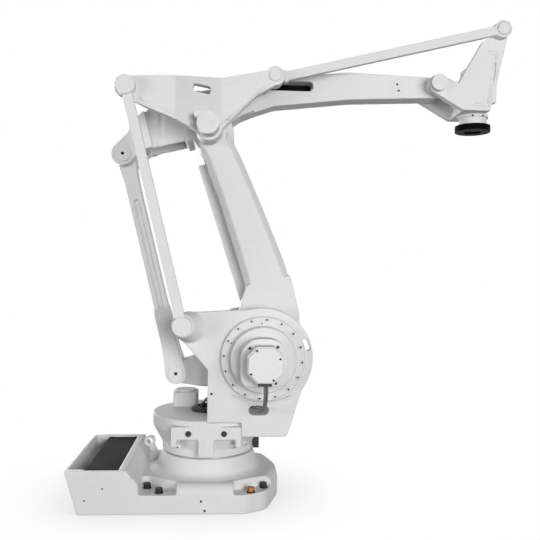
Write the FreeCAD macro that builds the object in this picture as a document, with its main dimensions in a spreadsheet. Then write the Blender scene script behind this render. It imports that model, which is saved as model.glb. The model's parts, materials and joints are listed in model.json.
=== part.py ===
"""Palletising robot arm: four driven axes, a parallel rod and two levelling rods.

Frame of the part: X points forward along the arm, Y to the far side, Z up.
The origin is axis 1 where it meets the floor.  Every link is modelled in its own
frame, with its main pivot at its origin, and is set in its rest pose by a placement.
All lengths are in millimetres and all angles in degrees.
"""
import FreeCAD, Part
import math
import os

import Sketcher

Vector = FreeCAD.Vector
FULL_TURN = 360
ARC_SHARE = 0.45
TRAY_FEET = (0.28, 0.56, 0.84)
FIRST_GEARBOX_BOLT = 0.8

DIMENSIONS = {
    # Skeleton of the arm
    "axis2_forward": 300, "axis2_height": 814.5,
    "lower_arm_length": 1280, "upper_arm_length": 1350, "lever_length": 500,
    "lower_arm_lean": -14, "upper_arm_drop": -14,
    "rear_ear_back": 428, "rear_ear_rise": 178,
    "front_ear_ahead": 361, "front_ear_rise": 312,
    "flange_forward": 260, "flange_drop": 244,
    # Fits and gaps
    "pin_fit": 0.05, "running_gap": 0.3, "side_gap": 5,
    # Base casting
    "base_half_width": 398, "base_wall": 18, "base_wall_height": 230,
    "base_rear": 735, "base_rear_rake": 70, "base_front": 405,
    "base_plinth_height": 100, "base_nose_half": 80, "base_corner": 110,
    "base_flank_rise": 52,
    "dome_foot_radius": 335, "dome_height": 250,
    "bay_exit_height": 145, "bay_exit_length": 150,
    "bolt_outer_x": 316, "bolt_outer_y": 270, "bolt_inner_x": 244, "bolt_inner_y": 350,
    "bolt_diameter": 24, "bolt_hole": 27, "bolt_head": 19, "bolt_head_height": 22,
    "washer_radius": 23, "washer_thick": 6,
    "recess_rear": 350, "recess_front": 150, "recess_room": 45,
    "cover_rear": 636, "cover_front": 455, "cover_thick": 8, "cover_sink": 14,
    "ledge_width": 16, "cover_screw": 6,
    "nose_start": 215, "nose_shoulder_x": 330, "nose_shoulder_y": 330, "bay_brow": 40,
    "dome_flare": 42, "dome_step": 14, "bay_exit_shift": 60, "recess_extra": 28,
    "lug_seat_rise": 30, "lug_foot_x": 312,
    "lug_x": 350, "lug_y": 120, "lug_height": 259, "lug_eye": 17, "lug_radius": 32, "lug_thick": 28,
    "lug_pad_radius": 44,
    "plug_radius": 17, "plug_x": 382, "plug_height": 172,
    # Turning ring and frame casting
    "ring_radius": 262, "ring_inner": 200, "ring_gap": 8, "ring_step": 14,
    "turret_radius": 318, "turret_top": 470, "turret_rim": 70, "turret_neck": 300,
    "wall_half_gap": 285, "wall_thick": 45, "wall_floor": 390, "wall_rear": 4,
    "gearbox_seat_radius": 272, "wall_foot_front": 435, "wall_ear_radius": 64,
    "wall_knee_height": 750, "wall_bottom_corner": 28,
    "skirt_half_length": 190, "skirt_top": 439, "skirt_bottom": 369, "skirt_out": 318,
    "skirt_rib_half": 42, "skirt_rib_bottom": 275, "skirt_plug_radius": 16, "skirt_plug_x": 96,
    "window_x": 281, "window_height": 532, "window_half_length": 54, "window_half_height": 25,
    "slot_x": 536, "slot_height": 890, "slot_length": 66, "slot_width": 24, "slot_lean": 23,
    "entry_radius": 100, "entry_bore": 62, "entry_height": 26,
    "motor1_x": 140, "motor1_y": 150, "motor1_side": 146, "motor1_height": 86,
    "rear_boss_radius": 60, "rear_boss_end": 425,
    "block_front": 297, "block_top": 326, "block_width": 90,
    "turret_flare": 30, "wall_knee_back": 60, "floor_nose": 18, "far_wall_top_x": 120,
    "far_wall_dip": 36, "far_wall_rise": 150, "entry_depth": 60, "motor1_corner": 20,
    "skirt_root": 30, "skirt_lug": 16, "skirt_lug_bottom": 330,
    # Gearboxes and motors of axes 2 and 3
    "gearbox_radius": 228, "gearbox_flange": 30, "gearbox_case_radius": 176, "gearbox_case": 56,
    "gearbox_bolt_circle": 211, "gearbox_bolts": 16, "gearbox_bolt_radius": 10,
    "gearbox_bolt_head": 8, "hub_spigot_radius": 90, "adaptor_side": 246, "adaptor_length": 96,
    "motor_side": 184, "motor_length": 96, "motor_cover": 12, "motor_bevel": 48,
    "plug_case_length": 70, "plug_case_width": 34, "plug_case_height": 18,
    "spigot_depth": 40, "case_bevel": 6, "adaptor_corner": 46, "adaptor_crown": 104, "lead_radius": 6,
    # Lower arm
    "lower_half_width": 205, "fork_half_gap": 162, "fork_depth": 190, "elbow_cheek_radius": 96,
    "lower_hub_radius": 225, "lower_hub_outer": 278, "lower_hub_inner": 95, "crotch_height": 280,
    "lower_front_bulge": 192, "lower_root_front": 258, "lower_rear_line": 6, "lower_top_rear": 62,
    "lower_top_front": 138, "lower_bevel": 34, "elbow_pin_radius": 45,
    "tray_width": 150, "tray_thick": 5, "tray_stand": 34, "tray_low": 320, "tray_high": 1132,
    "lower_bow_radius": 800, "lower_top_radius": 500, "lower_belly": 50, "root_blend": 120,
    "shoulder_pin_radius": 60, "shoulder_pin_depth": 60, "tray_low_x": 48, "tray_high_x": 106,
    "tray_foot": 90,
    # Lever and parallel rod
    "lever_half_width": 55, "lever_hub_radius": 140, "lever_tip_radius": 61, "lever_root_half": 92,
    "lever_belly": 118, "lever_pin_radius": 25, "lever_cover_radius": 45, "lever_cover_thick": 8,
    "cover_hole": 9, "rod_bar_width": 78, "rod_bar_half": 50, "rod_flute": 14, "rod_flute_width": 30,
    "rod_fork_outer": 90, "rod_head_half": 92, "rod_head_radius": 58, "rod_neck": 150,
    "lever_hub_near": 85, "rod_fork_depth": 300, "rod_fork_web": 46,
    # Levelling rods and link plate
    "bar_width": 52, "bar_thick": 36, "eye_radius": 52, "eye_thick": 44, "rod_pin_radius": 16,
    "cap_radius": 50, "cap_thick": 12,
    "front_eye_radius": 50, "front_cap_radius": 39, "front_cap_out": 34, "collar_length": 22,
    "collar_width": 66,
    "plate_skin": 16, "plate_depth": 46, "plate_lip": 14, "plate_outer": 425,
    "plate_bend_rear": 175, "plate_top": 290, "plate_rear_ear": 60,
    "plate_front_ear": 54, "plate_window_rear": 84, "plate_window_front": 6,
    "plate_window_top": 228, "plate_window_bottom": 186, "elbow_boss_radius": 74,
    "elbow_cap_radius": 59, "elbow_cap_end": 450, 
    "plate_fold": 35, "plate_top_dip": 42, "plate_pocket_low": 60, "window_corner": 12,
    "elbow_boss_end": 350, "front_pin_head": 33,
    # Upper arm
    "beam_half_width": 65, "beam_root_half": 92, "hub_half_width": 156, "hub_radius": 138,
    "tail_half_width": 118, "clevis_half_width": 150, "clevis_half_gap": 98,
    "clevis_radius": 64, "clevis_slot": 130, "clevis_pin_radius": 25,
    "crest_height": 282, "tail_height": 235, "tail_step_height": 170, "shoulder_height": 110,
    "mid_height": 226, "fore_height": 196, "tip_radius": 62, "belly_rise": 96, "belly_mid": 38,
    "arm_slot_start": 385, "arm_slot_end": 655, "arm_slot_height": 56, "arm_slot_rise": 192,
    "arm_slot_lean": 14, "wrist_pin_radius": 28,
    "pad_back": 210, "pad_rise": 46, "pad_length": 66, "pad_height": 92, "pad_thick": 3,
    "pad_screw_radius": 6, "pad_screw_pitch": 38,
    "beam_soft_radius": 150, "root_height": 265, "tail_hollow_front": 146, "tail_hollow_rear": 370,
    "tail_hollow_rise": 70, "tail_wall": 28, "beam_boss_x": 280, "beam_boss_rise": 133,
    "beam_hole_x": 364, "beam_hole_rise": 186, "beam_hole": 9, "beam_boss": 17,
    # Tilt house, axis 4 and turning disc
    "house_half_width": 150, "cheek_thick": 48, "cheek_pivot_radius": 54, "house_rear": 152,
    "house_front": 345, "house_floor": 148, "house_roof": 8, "fin_top_rear": 262,
    "fin_notch_x": 122, "groove_depth": 8, "groove_width": 26,
    "fin_ear_radius": 52, "wrist_cap_radius": 47, "wrist_cap_out": 36,
    "gearbox4_radius": 90, "gearbox4_rim": 16, "gearbox4_step": 10, "disc_radius": 103, "disc_thick": 36,
    "disc_bolt_circle": 80, "disc_bore": 50, "disc_bore_depth": 8, "disc_thread": 5.1,
    "disc_thread_depth": 18, "disc_threads": 6, "motor4_radius": 52, "motor4_height": 130,
    "motor4_y": 42, "house_front_rake": 34, "fin_root": 100,
}


class Formula:
    """A number kept together with the sheet formula that gives it."""

    def __init__(self, value, text=None):
        self.value = float(value)
        self.text = text if text is not None else repr(round(float(value), 9))

    def __add__(self, other):
        other = formula(other)
        return Formula(self.value + other.value, f"({self.text} + {other.text})")

    def __sub__(self, other):
        other = formula(other)
        return Formula(self.value - other.value, f"({self.text} - {other.text})")

    def __mul__(self, other):
        other = formula(other)
        return Formula(self.value * other.value, f"({self.text} * {other.text})")

    def __truediv__(self, other):
        other = formula(other)
        return Formula(self.value / other.value, f"({self.text} / {other.text})")

    def __neg__(self):
        return Formula(-self.value, f"(0 - {self.text})")

    def __radd__(self, other):
        return formula(other) + self

    def __rsub__(self, other):
        return formula(other) - self

    def __rmul__(self, other):
        return formula(other) * self


def formula(number):
    return number if isinstance(number, Formula) else Formula(number)


def sine(angle):
    return Formula(math.sin(math.radians(angle.value)), f"sin({angle.text})")


def cosine(angle):
    return Formula(math.cos(math.radians(angle.value)), f"cos({angle.text})")


class Dimensions:
    """The driving dimensions, each one a cell of the sheet with a name."""

    def __init__(self, table):
        self.sheet = doc.addObject("Spreadsheet::Sheet", "Sizes")
        for row, (name, value) in enumerate(table.items(), start=1):
            self.sheet.set(f"A{row}", name)
            self.sheet.set(f"B{row}", str(value))
            self.sheet.setAlias(f"B{row}", name)
            setattr(self, name, Formula(value, f"Sizes.{name}"))


doc = FreeCAD.newDocument("PalletisingRobot")
dim = Dimensions(DIMENSIONS)
doc.recompute()
pieces = []

PLANES = {"x": "YZ_Plane", "y": "XZ_Plane", "z": "XY_Plane"}


class Outline:
    """A closed outline of corners (across, up) or rounded corners (across, up, radius)."""

    def __init__(self, *corners):
        self.corners = [tuple(formula(n) for n in corner) for corner in corners]

    def draw(self, sketch):
        count = len(self.corners)
        ends = [self.corner_ends(i) for i in range(count)]
        lines = [sketch.addGeometry(Part.LineSegment(ends[i][1], ends[(i + 1) % count][0]))
                 for i in range(count)]
        for i, corner in enumerate(self.corners):
            before, after = lines[i - 1], lines[i]
            if len(corner) == 3:
                anchor = self.draw_arc(sketch, ends[i], corner, before, after)
                where = (anchor, 1)
            else:
                sketch.addConstraint(Sketcher.Constraint("Coincident", before, 2, after, 1))
                where = (after, 1)
            bind_point(sketch, where, corner[0], corner[1])

    def corner_ends(self, i):
        """Where the line into corner i stops and the line out of it starts."""
        corner = self.corners[i]
        here = Vector(corner[0].value, corner[1].value, 0)
        if len(corner) == 2:
            return here, here, None
        last, following = self.corners[i - 1], self.corners[(i + 1) % len(self.corners)]
        back = (Vector(last[0].value, last[1].value, 0) - here).normalize()
        ahead = (Vector(following[0].value, following[1].value, 0) - here).normalize()
        half = back.getAngle(ahead) / 2
        reach = corner[2].value / math.tan(half)
        centre = here + (back + ahead).normalize() * (corner[2].value / math.sin(half))
        return here + back * reach, here + ahead * reach, centre

    def draw_arc(self, sketch, ends, corner, before, after):
        start, end, centre = ends
        circle = Part.Circle(centre, Vector(0, 0, 1), corner[2].value)
        first, last = circle.parameter(start), circle.parameter(end)
        turns_left = (start - centre).cross(end - centre).z > 0
        if not turns_left:
            first, last = last, first
        if last < first:
            last += 2 * math.pi
        arc = sketch.addGeometry(Part.ArcOfCircle(circle, first, last))
        enter, leave = (1, 2) if turns_left else (2, 1)
        anchor = sketch.addGeometry(Part.Point(Vector(corner[0].value, corner[1].value, 0)), True)
        sketch.addConstraint([
            Sketcher.Constraint("Tangent", before, 2, arc, enter),
            Sketcher.Constraint("Tangent", arc, leave, after, 1),
            Sketcher.Constraint("PointOnObject", anchor, 1, before),
            Sketcher.Constraint("PointOnObject", anchor, 1, after),
        ])
        bind(sketch, Sketcher.Constraint("Radius", arc, corner[2].value), corner[2])
        return anchor


class Circle:
    """A full circle by its centre and radius."""

    def __init__(self, across, up, radius):
        self.across, self.up, self.radius = formula(across), formula(up), formula(radius)

    def draw(self, sketch):
        centre = Vector(self.across.value, self.up.value, 0)
        ring = sketch.addGeometry(Part.Circle(centre, Vector(0, 0, 1), self.radius.value))
        bind(sketch, Sketcher.Constraint("Radius", ring, self.radius.value), self.radius)
        bind_point(sketch, (ring, 3), self.across, self.up)


def bind(sketch, constraint, size):
    index = sketch.addConstraint(constraint)
    sketch.setExpression(f"Constraints[{index}]", size.text)


def bind_point(sketch, where, across, up):
    bind(sketch, Sketcher.Constraint("DistanceX", -1, 1, *where, across.value), across)
    bind(sketch, Sketcher.Constraint("DistanceY", -1, 1, *where, up.value), up)


def rectangle(left, bottom, right, top):
    return Outline((left, bottom), (right, bottom), (right, top), (left, top))


def rounded(left, bottom, right, top, radius):
    return Outline((left, bottom, radius), (right, bottom, radius),
                   (right, top, radius), (left, top, radius))


def box_round(across, up, half_length, half_height, radius):
    return rounded(across - half_length, up - half_height,
                   across + half_length, up + half_height, radius)


class Piece:
    """One sub-part: a body of the document and the features that make it."""

    def __init__(self, label):
        self.body = doc.addObject("PartDesign::Body", label)
        self.body.Label = label
        pieces.append(self.body)

    def sketch(self, shapes, axis, level):
        plane = [f for f in self.body.Origin.OriginFeatures if f.Role == PLANES[axis]][0]
        sketch = self.body.newObject("Sketcher::SketchObject", f"{self.body.Label}_sketch")
        sketch.AttachmentSupport = [(plane, "")]
        sketch.MapMode = "FlatFace"
        offset = -level if axis == "y" else level
        sketch.setExpression("AttachmentOffset.Base.z", offset.text)
        for shape in shapes:
            shape.draw(sketch)
        return sketch

    def add(self, shapes, low, high, axis="y"):
        """Thicken outlines from low to high along the axis."""
        low, high = formula(low), formula(high)
        shapes = shapes if isinstance(shapes, list) else [shapes]
        pad = self.body.newObject("PartDesign::Pad", f"{self.body.Label}_pad")
        pad.Profile = self.sketch(shapes, axis, high if axis == "y" else low)
        pad.setExpression("Length", (high - low).text)
        return self

    def cut(self, shapes, low, high, axis="y"):
        """Cut outlines away from low to high along the axis."""
        low, high = formula(low), formula(high)
        shapes = shapes if isinstance(shapes, list) else [shapes]
        pocket = self.body.newObject("PartDesign::Pocket", f"{self.body.Label}_pocket")
        pocket.Profile = self.sketch(shapes, axis, low if axis == "y" else high)
        pocket.setExpression("Length", (high - low).text)
        return self

    def turn(self, outline, axis="y"):
        """Turn an outline of (radius, along) about the Y or the Z axis of the piece."""
        sketch = self.sketch([outline], "z" if axis == "y" else "y", formula(0))
        turned = self.body.newObject("PartDesign::Revolution", f"{self.body.Label}_turned")
        turned.Profile = sketch
        turned.ReferenceAxis = (sketch, ["V_Axis"])
        turned.Angle = FULL_TURN
        return self

    def soften(self, size, wanted, kind="Chamfer"):
        """Bevel or round the edges for which wanted(edge) is true."""
        doc.recompute()
        tip = self.body.Tip
        names = [f"Edge{i}" for i, edge in enumerate(tip.Shape.Edges, start=1) if wanted(edge)]
        feature = self.body.newObject(f"PartDesign::{kind}", f"{self.body.Label}_{kind.lower()}")
        feature.Base = (tip, names)
        feature.setExpression("Size" if kind == "Chamfer" else "Radius", size.text)
        return self

    def place(self, x=0, y=0, z=0, angle=0):
        """Set the piece's own origin at a point, turned about Y by an angle."""
        spot = "; ".join(formula(n).text for n in (x, y, z))
        turn = f"rotation(vector(0; 1; 0); {formula(angle).text})"
        self.body.setExpression("Placement", f"placement(vector({spot}); {turn})")
        return self


class Group:
    """Several separate solids that share one node."""

    def __init__(self, label):
        self.compound = doc.addObject("Part::Compound", label)
        self.compound.Label = label
        self.members = []
        pieces.append(self.compound)

    def rod(self, spot, radius, length, axis="z", sides=0):
        """Add a round or many-sided bar that starts at a spot and runs along the axis."""
        kind = "Part::Prism" if sides else "Part::Cylinder"
        bar = doc.addObject(kind, f"{self.compound.Label}_bar")
        if sides:
            bar.Polygon = sides
            bar.setExpression("Circumradius", formula(radius).text)
        else:
            bar.setExpression("Radius", formula(radius).text)
        bar.setExpression("Height", formula(length).text)
        self.set(bar, spot, axis)
        return bar

    def set(self, bar, spot, axis):
        lean = {"z": "(1; 0; 0); 0", "-y": "(1; 0; 0); 90", "y": "(1; 0; 0); 0 - 90",
                "x": "(0; 1; 0); 90", "-z": "(1; 0; 0); 180"}[axis]
        place = "; ".join(formula(n).text for n in spot)
        bar.setExpression("Placement", f"placement(vector({place}); rotation(vector{lean}))")
        self.members.append(bar)
        self.compound.Links = self.members

    def fused(self, bars):
        """Fuse the last bars into one solid of the group."""
        fusion = doc.addObject("Part::MultiFuse", f"{self.compound.Label}_solid")
        fusion.Shapes = bars
        self.members = [m for m in self.members if m not in bars] + [fusion]
        self.compound.Links = self.members

    def place(self, x=0, y=0, z=0, angle=0):
        spot = "; ".join(formula(n).text for n in (x, y, z))
        turn = f"rotation(vector(0; 1; 0); {formula(angle).text})"
        self.compound.setExpression("Placement", f"placement(vector({spot}); {turn})")
        return self


class Leads:
    """Round leads along straight runs, joined by arcs that are tangent to both runs."""

    def __init__(self, label, routes, radius):
        self.feature = doc.addObject("Part::Feature", label)
        self.feature.Label = label
        self.feature.Shape = Part.makeCompound([self.tube(route, radius) for route in routes])
        pieces.append(self.feature)

    def tube(self, route, radius):
        points = [Vector(*(formula(n).value for n in point)) for point in route]
        edges, here = [], points[0]
        for before, corner, after in zip(points, points[1:], points[2:]):
            back, ahead = before - corner, after - corner
            half_turn = (math.pi - back.getAngle(ahead)) / 2
            reach = ARC_SHARE * min(back.Length, ahead.Length)
            bend = reach / math.tan(half_turn)
            start = corner + back.normalize() * reach
            end = corner + ahead.normalize() * reach
            middle = corner + (back + ahead).normalize() * (bend / math.cos(half_turn) - bend)
            edges += [Part.LineSegment(here, start).toShape(), Part.Arc(start, middle, end).toShape()]
            print(self.feature.Label, "bend", round(bend))
            here = end
        edges.append(Part.LineSegment(here, points[-1]).toShape())
        path = Part.Wire(edges)
        ring = Part.Circle(points[0], points[1] - points[0], formula(radius).value)
        tube = path.makePipeShell([Part.Wire([ring.toShape()])], True, False)
        print(self.feature.Label, "fill", round(tube.Volume / (path.Length * math.pi * ring.Radius ** 2), 3))
        return tube


# Pivots of the rest pose, in the frame of the whole part
shoulder_x, shoulder_z = dim.axis2_forward, dim.axis2_height
elbow_x = shoulder_x + dim.lower_arm_length * sine(dim.lower_arm_lean)
elbow_z = shoulder_z + dim.lower_arm_length * cosine(dim.lower_arm_lean)
wrist_x = elbow_x + dim.upper_arm_length * cosine(dim.upper_arm_drop)
wrist_z = elbow_z - dim.upper_arm_length * sine(dim.upper_arm_drop)
lever_x = shoulder_x - dim.lever_length * cosine(dim.upper_arm_drop)
lever_z = shoulder_z + dim.lever_length * sine(dim.upper_arm_drop)
flange_x = wrist_x + dim.flange_forward

wall_outer = dim.wall_half_gap + dim.wall_thick
bolt_places = [(side_x * x, side_y * y)
               for x, y in ((dim.bolt_outer_x, dim.bolt_outer_y), (dim.bolt_inner_x, dim.bolt_inner_y))
               for side_x in (-1, 1) for side_y in (-1, 1)]


def make_base():
    half = dim.base_half_width
    floor = dim.base_plinth_height
    top = floor + dim.base_flank_rise
    nose = dim.base_front
    plan = Outline(
        (-dim.cover_front, -half), (dim.nose_start, -half, dim.base_corner),
        (dim.nose_shoulder_x, -dim.nose_shoulder_y, dim.base_corner),
        (nose, -dim.base_nose_half, dim.base_corner), (nose, dim.base_nose_half, dim.base_corner),
        (dim.nose_shoulder_x, dim.nose_shoulder_y, dim.base_corner),
        (dim.nose_start, half, dim.base_corner), (-dim.cover_front, half))
    base = Piece("base_casting")
    base.add(plan, 0, top, "z")
    base.soften(dim.base_flank_rise, lambda edge: on_top(edge, top), "Fillet")
    wall_top = dim.base_wall_height
    rake = dim.base_rear - dim.base_rear_rake
    base.add(Outline((-rake, 0), (-dim.recess_rear, 0), (-dim.recess_rear, top),
                     (-dim.cover_front + dim.bay_brow, wall_top), (-dim.base_rear, wall_top)),
             -half, half)
    base.turn(Outline((0, floor), (dim.dome_foot_radius, floor), (dim.dome_foot_radius, top),
                      (dim.dome_foot_radius - dim.dome_flare, top + dim.dome_step, dim.dome_flare),
                      (dim.ring_radius, dim.dome_height), (0, dim.dome_height)), "z")
    bay_half = half - dim.base_wall - dim.ledge_width
    inside = dim.base_wall
    base.cut(Outline((-rake + inside, 0), (-dim.cover_front, 0),
                     (-dim.cover_front, wall_top), (-dim.base_rear + inside, wall_top)),
             -bay_half, bay_half)
    seat = wall_top - dim.cover_sink - dim.cover_thick
    base.cut(rectangle(-dim.cover_rear - dim.running_gap, seat, -dim.cover_front + dim.running_gap,
                       wall_top), -half + dim.base_wall, half - dim.base_wall)
    exit_rear = dim.cover_rear + dim.bay_exit_shift
    base.cut(rectangle(-exit_rear, 0, -exit_rear + dim.bay_exit_length, dim.bay_exit_height),
             bay_half, half)
    for side_x, reach in ((-1, dim.recess_rear), (1, dim.recess_rear + dim.recess_extra)):
        for side_y in (-1, 1):
            base.cut(recess(side_x, side_y, reach), floor, dim.dome_height + dim.ring_gap, "z")
    base.cut([Circle(x, y, dim.bolt_hole / 2) for x, y in bolt_places], 0, floor, "z")
    lug_seat = top + dim.lug_seat_rise
    lug_ring = Circle(-dim.lug_foot_x, dim.lug_y, dim.lug_pad_radius)
    base.add(lug_ring, floor, lug_seat, "z")
    base.cut(lug_ring, lug_seat, dim.dome_height + dim.ring_gap, "z")
    ring_base = Piece("turning_ring")
    ring_outer, ring_top = dim.ring_radius - dim.ring_step, dim.dome_height + dim.ring_gap
    ring_base.turn(Outline((dim.ring_inner, dim.dome_height), (ring_outer, dim.dome_height),
                           (ring_outer, ring_top), (dim.ring_inner, ring_top)), "z")
    cover = Piece("rear_cover_plate")
    edge = half - dim.base_wall - dim.running_gap
    cover.add(rounded(-dim.cover_rear, -edge, -dim.cover_front, edge, dim.cover_screw),
              seat, seat + dim.cover_thick, "z")
    screws = Group("cover_screws")
    for x in (dim.cover_rear - dim.ledge_width, dim.cover_front + dim.ledge_width):
        for side in (-1, 1):
            spot = (-x, side * (edge - dim.ledge_width / 2), seat + dim.cover_thick)
            screws.rod(spot, dim.cover_screw, dim.cover_screw / 2)
    lug = Piece("lifting_eye")
    foot, eye = -dim.lug_foot_x, -dim.lug_x
    lug.add(rectangle(foot - dim.lug_radius, lug_seat, foot + dim.lug_radius,
                      lug_seat + dim.lug_thick / 2),
            dim.lug_y - dim.lug_thick, dim.lug_y + dim.lug_thick)
    lug.add(Outline((foot - dim.lug_eye, lug_seat), (foot + dim.lug_eye, lug_seat),
                    (eye + dim.lug_eye, dim.lug_height), (eye - dim.lug_eye, dim.lug_height)),
            dim.lug_y - dim.lug_thick / 2, dim.lug_y + dim.lug_thick / 2)
    lug.add(Circle(eye, dim.lug_height, dim.lug_radius),
            dim.lug_y - dim.lug_thick / 2, dim.lug_y + dim.lug_thick / 2)
    lug.cut(Circle(eye, dim.lug_height, dim.lug_eye),
            dim.lug_y - dim.lug_thick, dim.lug_y + dim.lug_thick)
    plug = Group("side_plug")
    plug.rod((-dim.plug_x, -half, dim.plug_height), dim.plug_radius, dim.cover_thick / 2, "-y")
    make_foundation_bolts(floor)


def on_top(edge, level):
    box = edge.BoundBox
    flat = abs(box.ZMin - level.value) < 0.01 and abs(box.ZMax - level.value) < 0.01
    return flat and box.XMax > -dim.cover_front.value + 1


def recess(side_x, side_y, reach):
    """Plan of the flat seat cut into the flank round two foundation bolts."""
    out = dim.base_half_width + dim.side_gap
    near, far = side_x * dim.recess_front, side_x * reach
    shallow = dim.bolt_inner_y - dim.washer_radius - dim.side_gap
    deep = dim.bolt_outer_y - dim.washer_radius - dim.recess_room
    corners = [(near, side_y * out), (far, side_y * out), (far, side_y * deep, dim.lug_radius),
               (near, side_y * shallow, dim.lug_radius)]
    return Outline(*(corners if side_x * side_y < 0 else corners[::-1]))


def make_foundation_bolts(floor):
    washers = Group("foundation_washers")
    bolts = Group("foundation_bolts")
    odd = Group("foundation_bolt_bronze")
    for x, y in bolt_places:
        ring = washers.rod((x, y, floor), dim.washer_radius, dim.washer_thick)
        hole = doc.addObject("Part::Cylinder", "washer_hole")
        hole.setExpression("Radius", (dim.bolt_hole / 2).text)
        hole.setExpression("Height", dim.washer_thick.text)
        spot = "; ".join(formula(n).text for n in (x, y, floor))
        hole.setExpression("Placement", f"placement(vector({spot}); rotation(vector(0; 0; 1); 0))")
        cut = doc.addObject("Part::Cut", "washer")
        cut.Base, cut.Tool = ring, hole
        washers.members[-1] = cut
        washers.compound.Links = washers.members
        bronze = x.value == dim.bolt_inner_x.value and y.value < 0
        group = odd if bronze else bolts
        under_head = floor + dim.washer_thick
        head = group.rod((x, y, under_head), dim.bolt_head, dim.bolt_head_height, sides=6)
        shank = group.rod((x, y, dim.washer_thick), dim.bolt_diameter / 2, under_head - dim.washer_thick)
        group.fused([head, shank])


def make_frame():
    half_gap, floor, top = dim.wall_half_gap, dim.wall_floor, dim.turret_top
    frame = Piece("frame_casting")
    neck = dim.dome_height + dim.ring_gap + dim.running_gap
    frame.turn(Outline((0, neck), (dim.ring_radius, neck), (dim.ring_radius, dim.turret_neck),
                       (dim.turret_radius, top - dim.turret_rim, dim.turret_flare),
                       (dim.turret_radius, top), (0, top)), "z")
    foot = dim.wall_foot_front
    frame.add(Outline((-dim.wall_knee_back, floor), (foot, floor, dim.wall_bottom_corner),
                      (foot + dim.floor_nose, top), (-dim.wall_knee_back, top)), -half_gap, half_gap)
    seat = Circle(shoulder_x, shoulder_z, dim.gearbox_seat_radius)
    seat_front = shoulder_x + dim.gearbox_seat_radius - dim.side_gap
    seat_top = shoulder_z + dim.gearbox_seat_radius - dim.side_gap
    ear_x, ear_z = shoulder_x - dim.rear_ear_back, shoulder_z + dim.rear_ear_rise
    ear = dim.wall_ear_radius
    sill, notch = top - dim.side_gap, dim.skirt_half_length
    near_wall = Outline((dim.wall_rear, sill), (notch, sill), (notch, floor),
                        (foot, floor, dim.wall_bottom_corner),
                        (seat_front, shoulder_z), (shoulder_x, seat_top),
                        (ear_x, ear_z + ear), (ear_x - ear, ear_z), (ear_x - ear * 0.7, ear_z - ear * 0.7),
                        (dim.wall_rear, dim.wall_knee_height))
    far_wall = Outline((dim.wall_rear, floor), (foot, floor, dim.wall_bottom_corner),
                       (seat_front, shoulder_z), (shoulder_x, seat_top),
                       (dim.far_wall_top_x, seat_top - dim.far_wall_dip),
                       (dim.wall_rear, dim.wall_knee_height + dim.far_wall_rise))
    for outline, low, high in ((near_wall, -wall_outer, -half_gap), (far_wall, half_gap, wall_outer)):
        frame.add(outline, low, high)
        frame.add(seat, low, high)
        frame.cut(Circle(shoulder_x, shoulder_z, dim.hub_spigot_radius + dim.running_gap), low, high)
    frame.add(Circle(ear_x, ear_z, ear), -wall_outer, -half_gap)
    frame.add(Circle(ear_x, ear_z, dim.rear_boss_radius), -dim.rear_boss_end, -wall_outer)
    frame.cut(Circle(ear_x, ear_z, dim.rod_pin_radius + dim.pin_fit), -dim.rear_boss_end, -half_gap)
    add_skirt(frame)
    frame.cut(box_round(dim.window_x, dim.window_height, dim.window_half_length,
                        dim.window_half_height, dim.window_half_height - dim.running_gap),
              -wall_outer, -half_gap)
    frame.cut(leaning_slot(), -wall_outer, -half_gap)
    frame.cut(Circle(0, 0, dim.entry_bore), top - dim.entry_depth, top, "z")
    plugs = Group("skirt_plugs")
    plug_height = (dim.skirt_top + dim.skirt_bottom) / 2
    for side in (-1, 1):
        plugs.rod((side * dim.skirt_plug_x, -dim.skirt_out, plug_height), dim.skirt_plug_radius,
                  dim.side_gap, "-y")
    ring = Piece("cable_entry_ring")
    ring.turn(Outline((dim.entry_bore, top), (dim.entry_radius, top),
                      (dim.entry_radius, top + dim.entry_height / 2),
                      (dim.entry_bore + dim.ring_gap, top + dim.entry_height),
                      (dim.entry_bore, top + dim.entry_height)), "z")
    motor = Piece("axis1_motor")
    motor.add(box_round(-dim.motor1_x, dim.motor1_y, dim.motor1_side / 2, dim.motor1_side / 2,
                        dim.motor1_corner), top, top + dim.motor1_height, "z")
    motor.add(Circle(-dim.motor1_x, dim.motor1_y, dim.motor1_side / 2 - dim.motor1_corner / 2),
              top + dim.motor1_height, top + dim.motor1_height + dim.motor_cover, "z")
    block = Piece("axis1_stop_block")
    flare = (dim.turret_radius - dim.ring_radius) / (top - dim.turret_rim - dim.turret_neck)
    back, step = dim.ring_radius + dim.running_gap, dim.block_top - dim.turret_neck
    block.add(Outline((back, neck), (dim.block_front, neck), (dim.block_front, dim.block_top),
                      (back + flare * step, dim.block_top), (back, dim.turret_neck)),
              -dim.block_width / 2, dim.block_width / 2)
    pin = Group("rear_rod_lower_pin")
    pin.rod((ear_x, -half_gap - dim.running_gap, ear_z), dim.rod_pin_radius,
            dim.rear_boss_end + dim.eye_thick - half_gap - dim.running_gap, "-y")


def add_skirt(frame):
    """The flat plate on the near side of the turret, with two windows and a rib."""
    half, back = dim.skirt_half_length, dim.ring_radius - dim.skirt_root
    frame.add(rectangle(-half, dim.skirt_bottom, half, dim.skirt_top), -dim.skirt_out, -back)
    frame.add(rectangle(-dim.skirt_rib_half, dim.skirt_rib_bottom, dim.skirt_rib_half, dim.skirt_top),
              -dim.skirt_out, -back)
    lug = dim.skirt_lug
    for side in (-1, 1):
        centre = side * (half - lug)
        frame.add(rectangle(centre - lug, dim.skirt_lug_bottom, centre + lug, dim.skirt_top),
                  -dim.skirt_out, -back)


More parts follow.
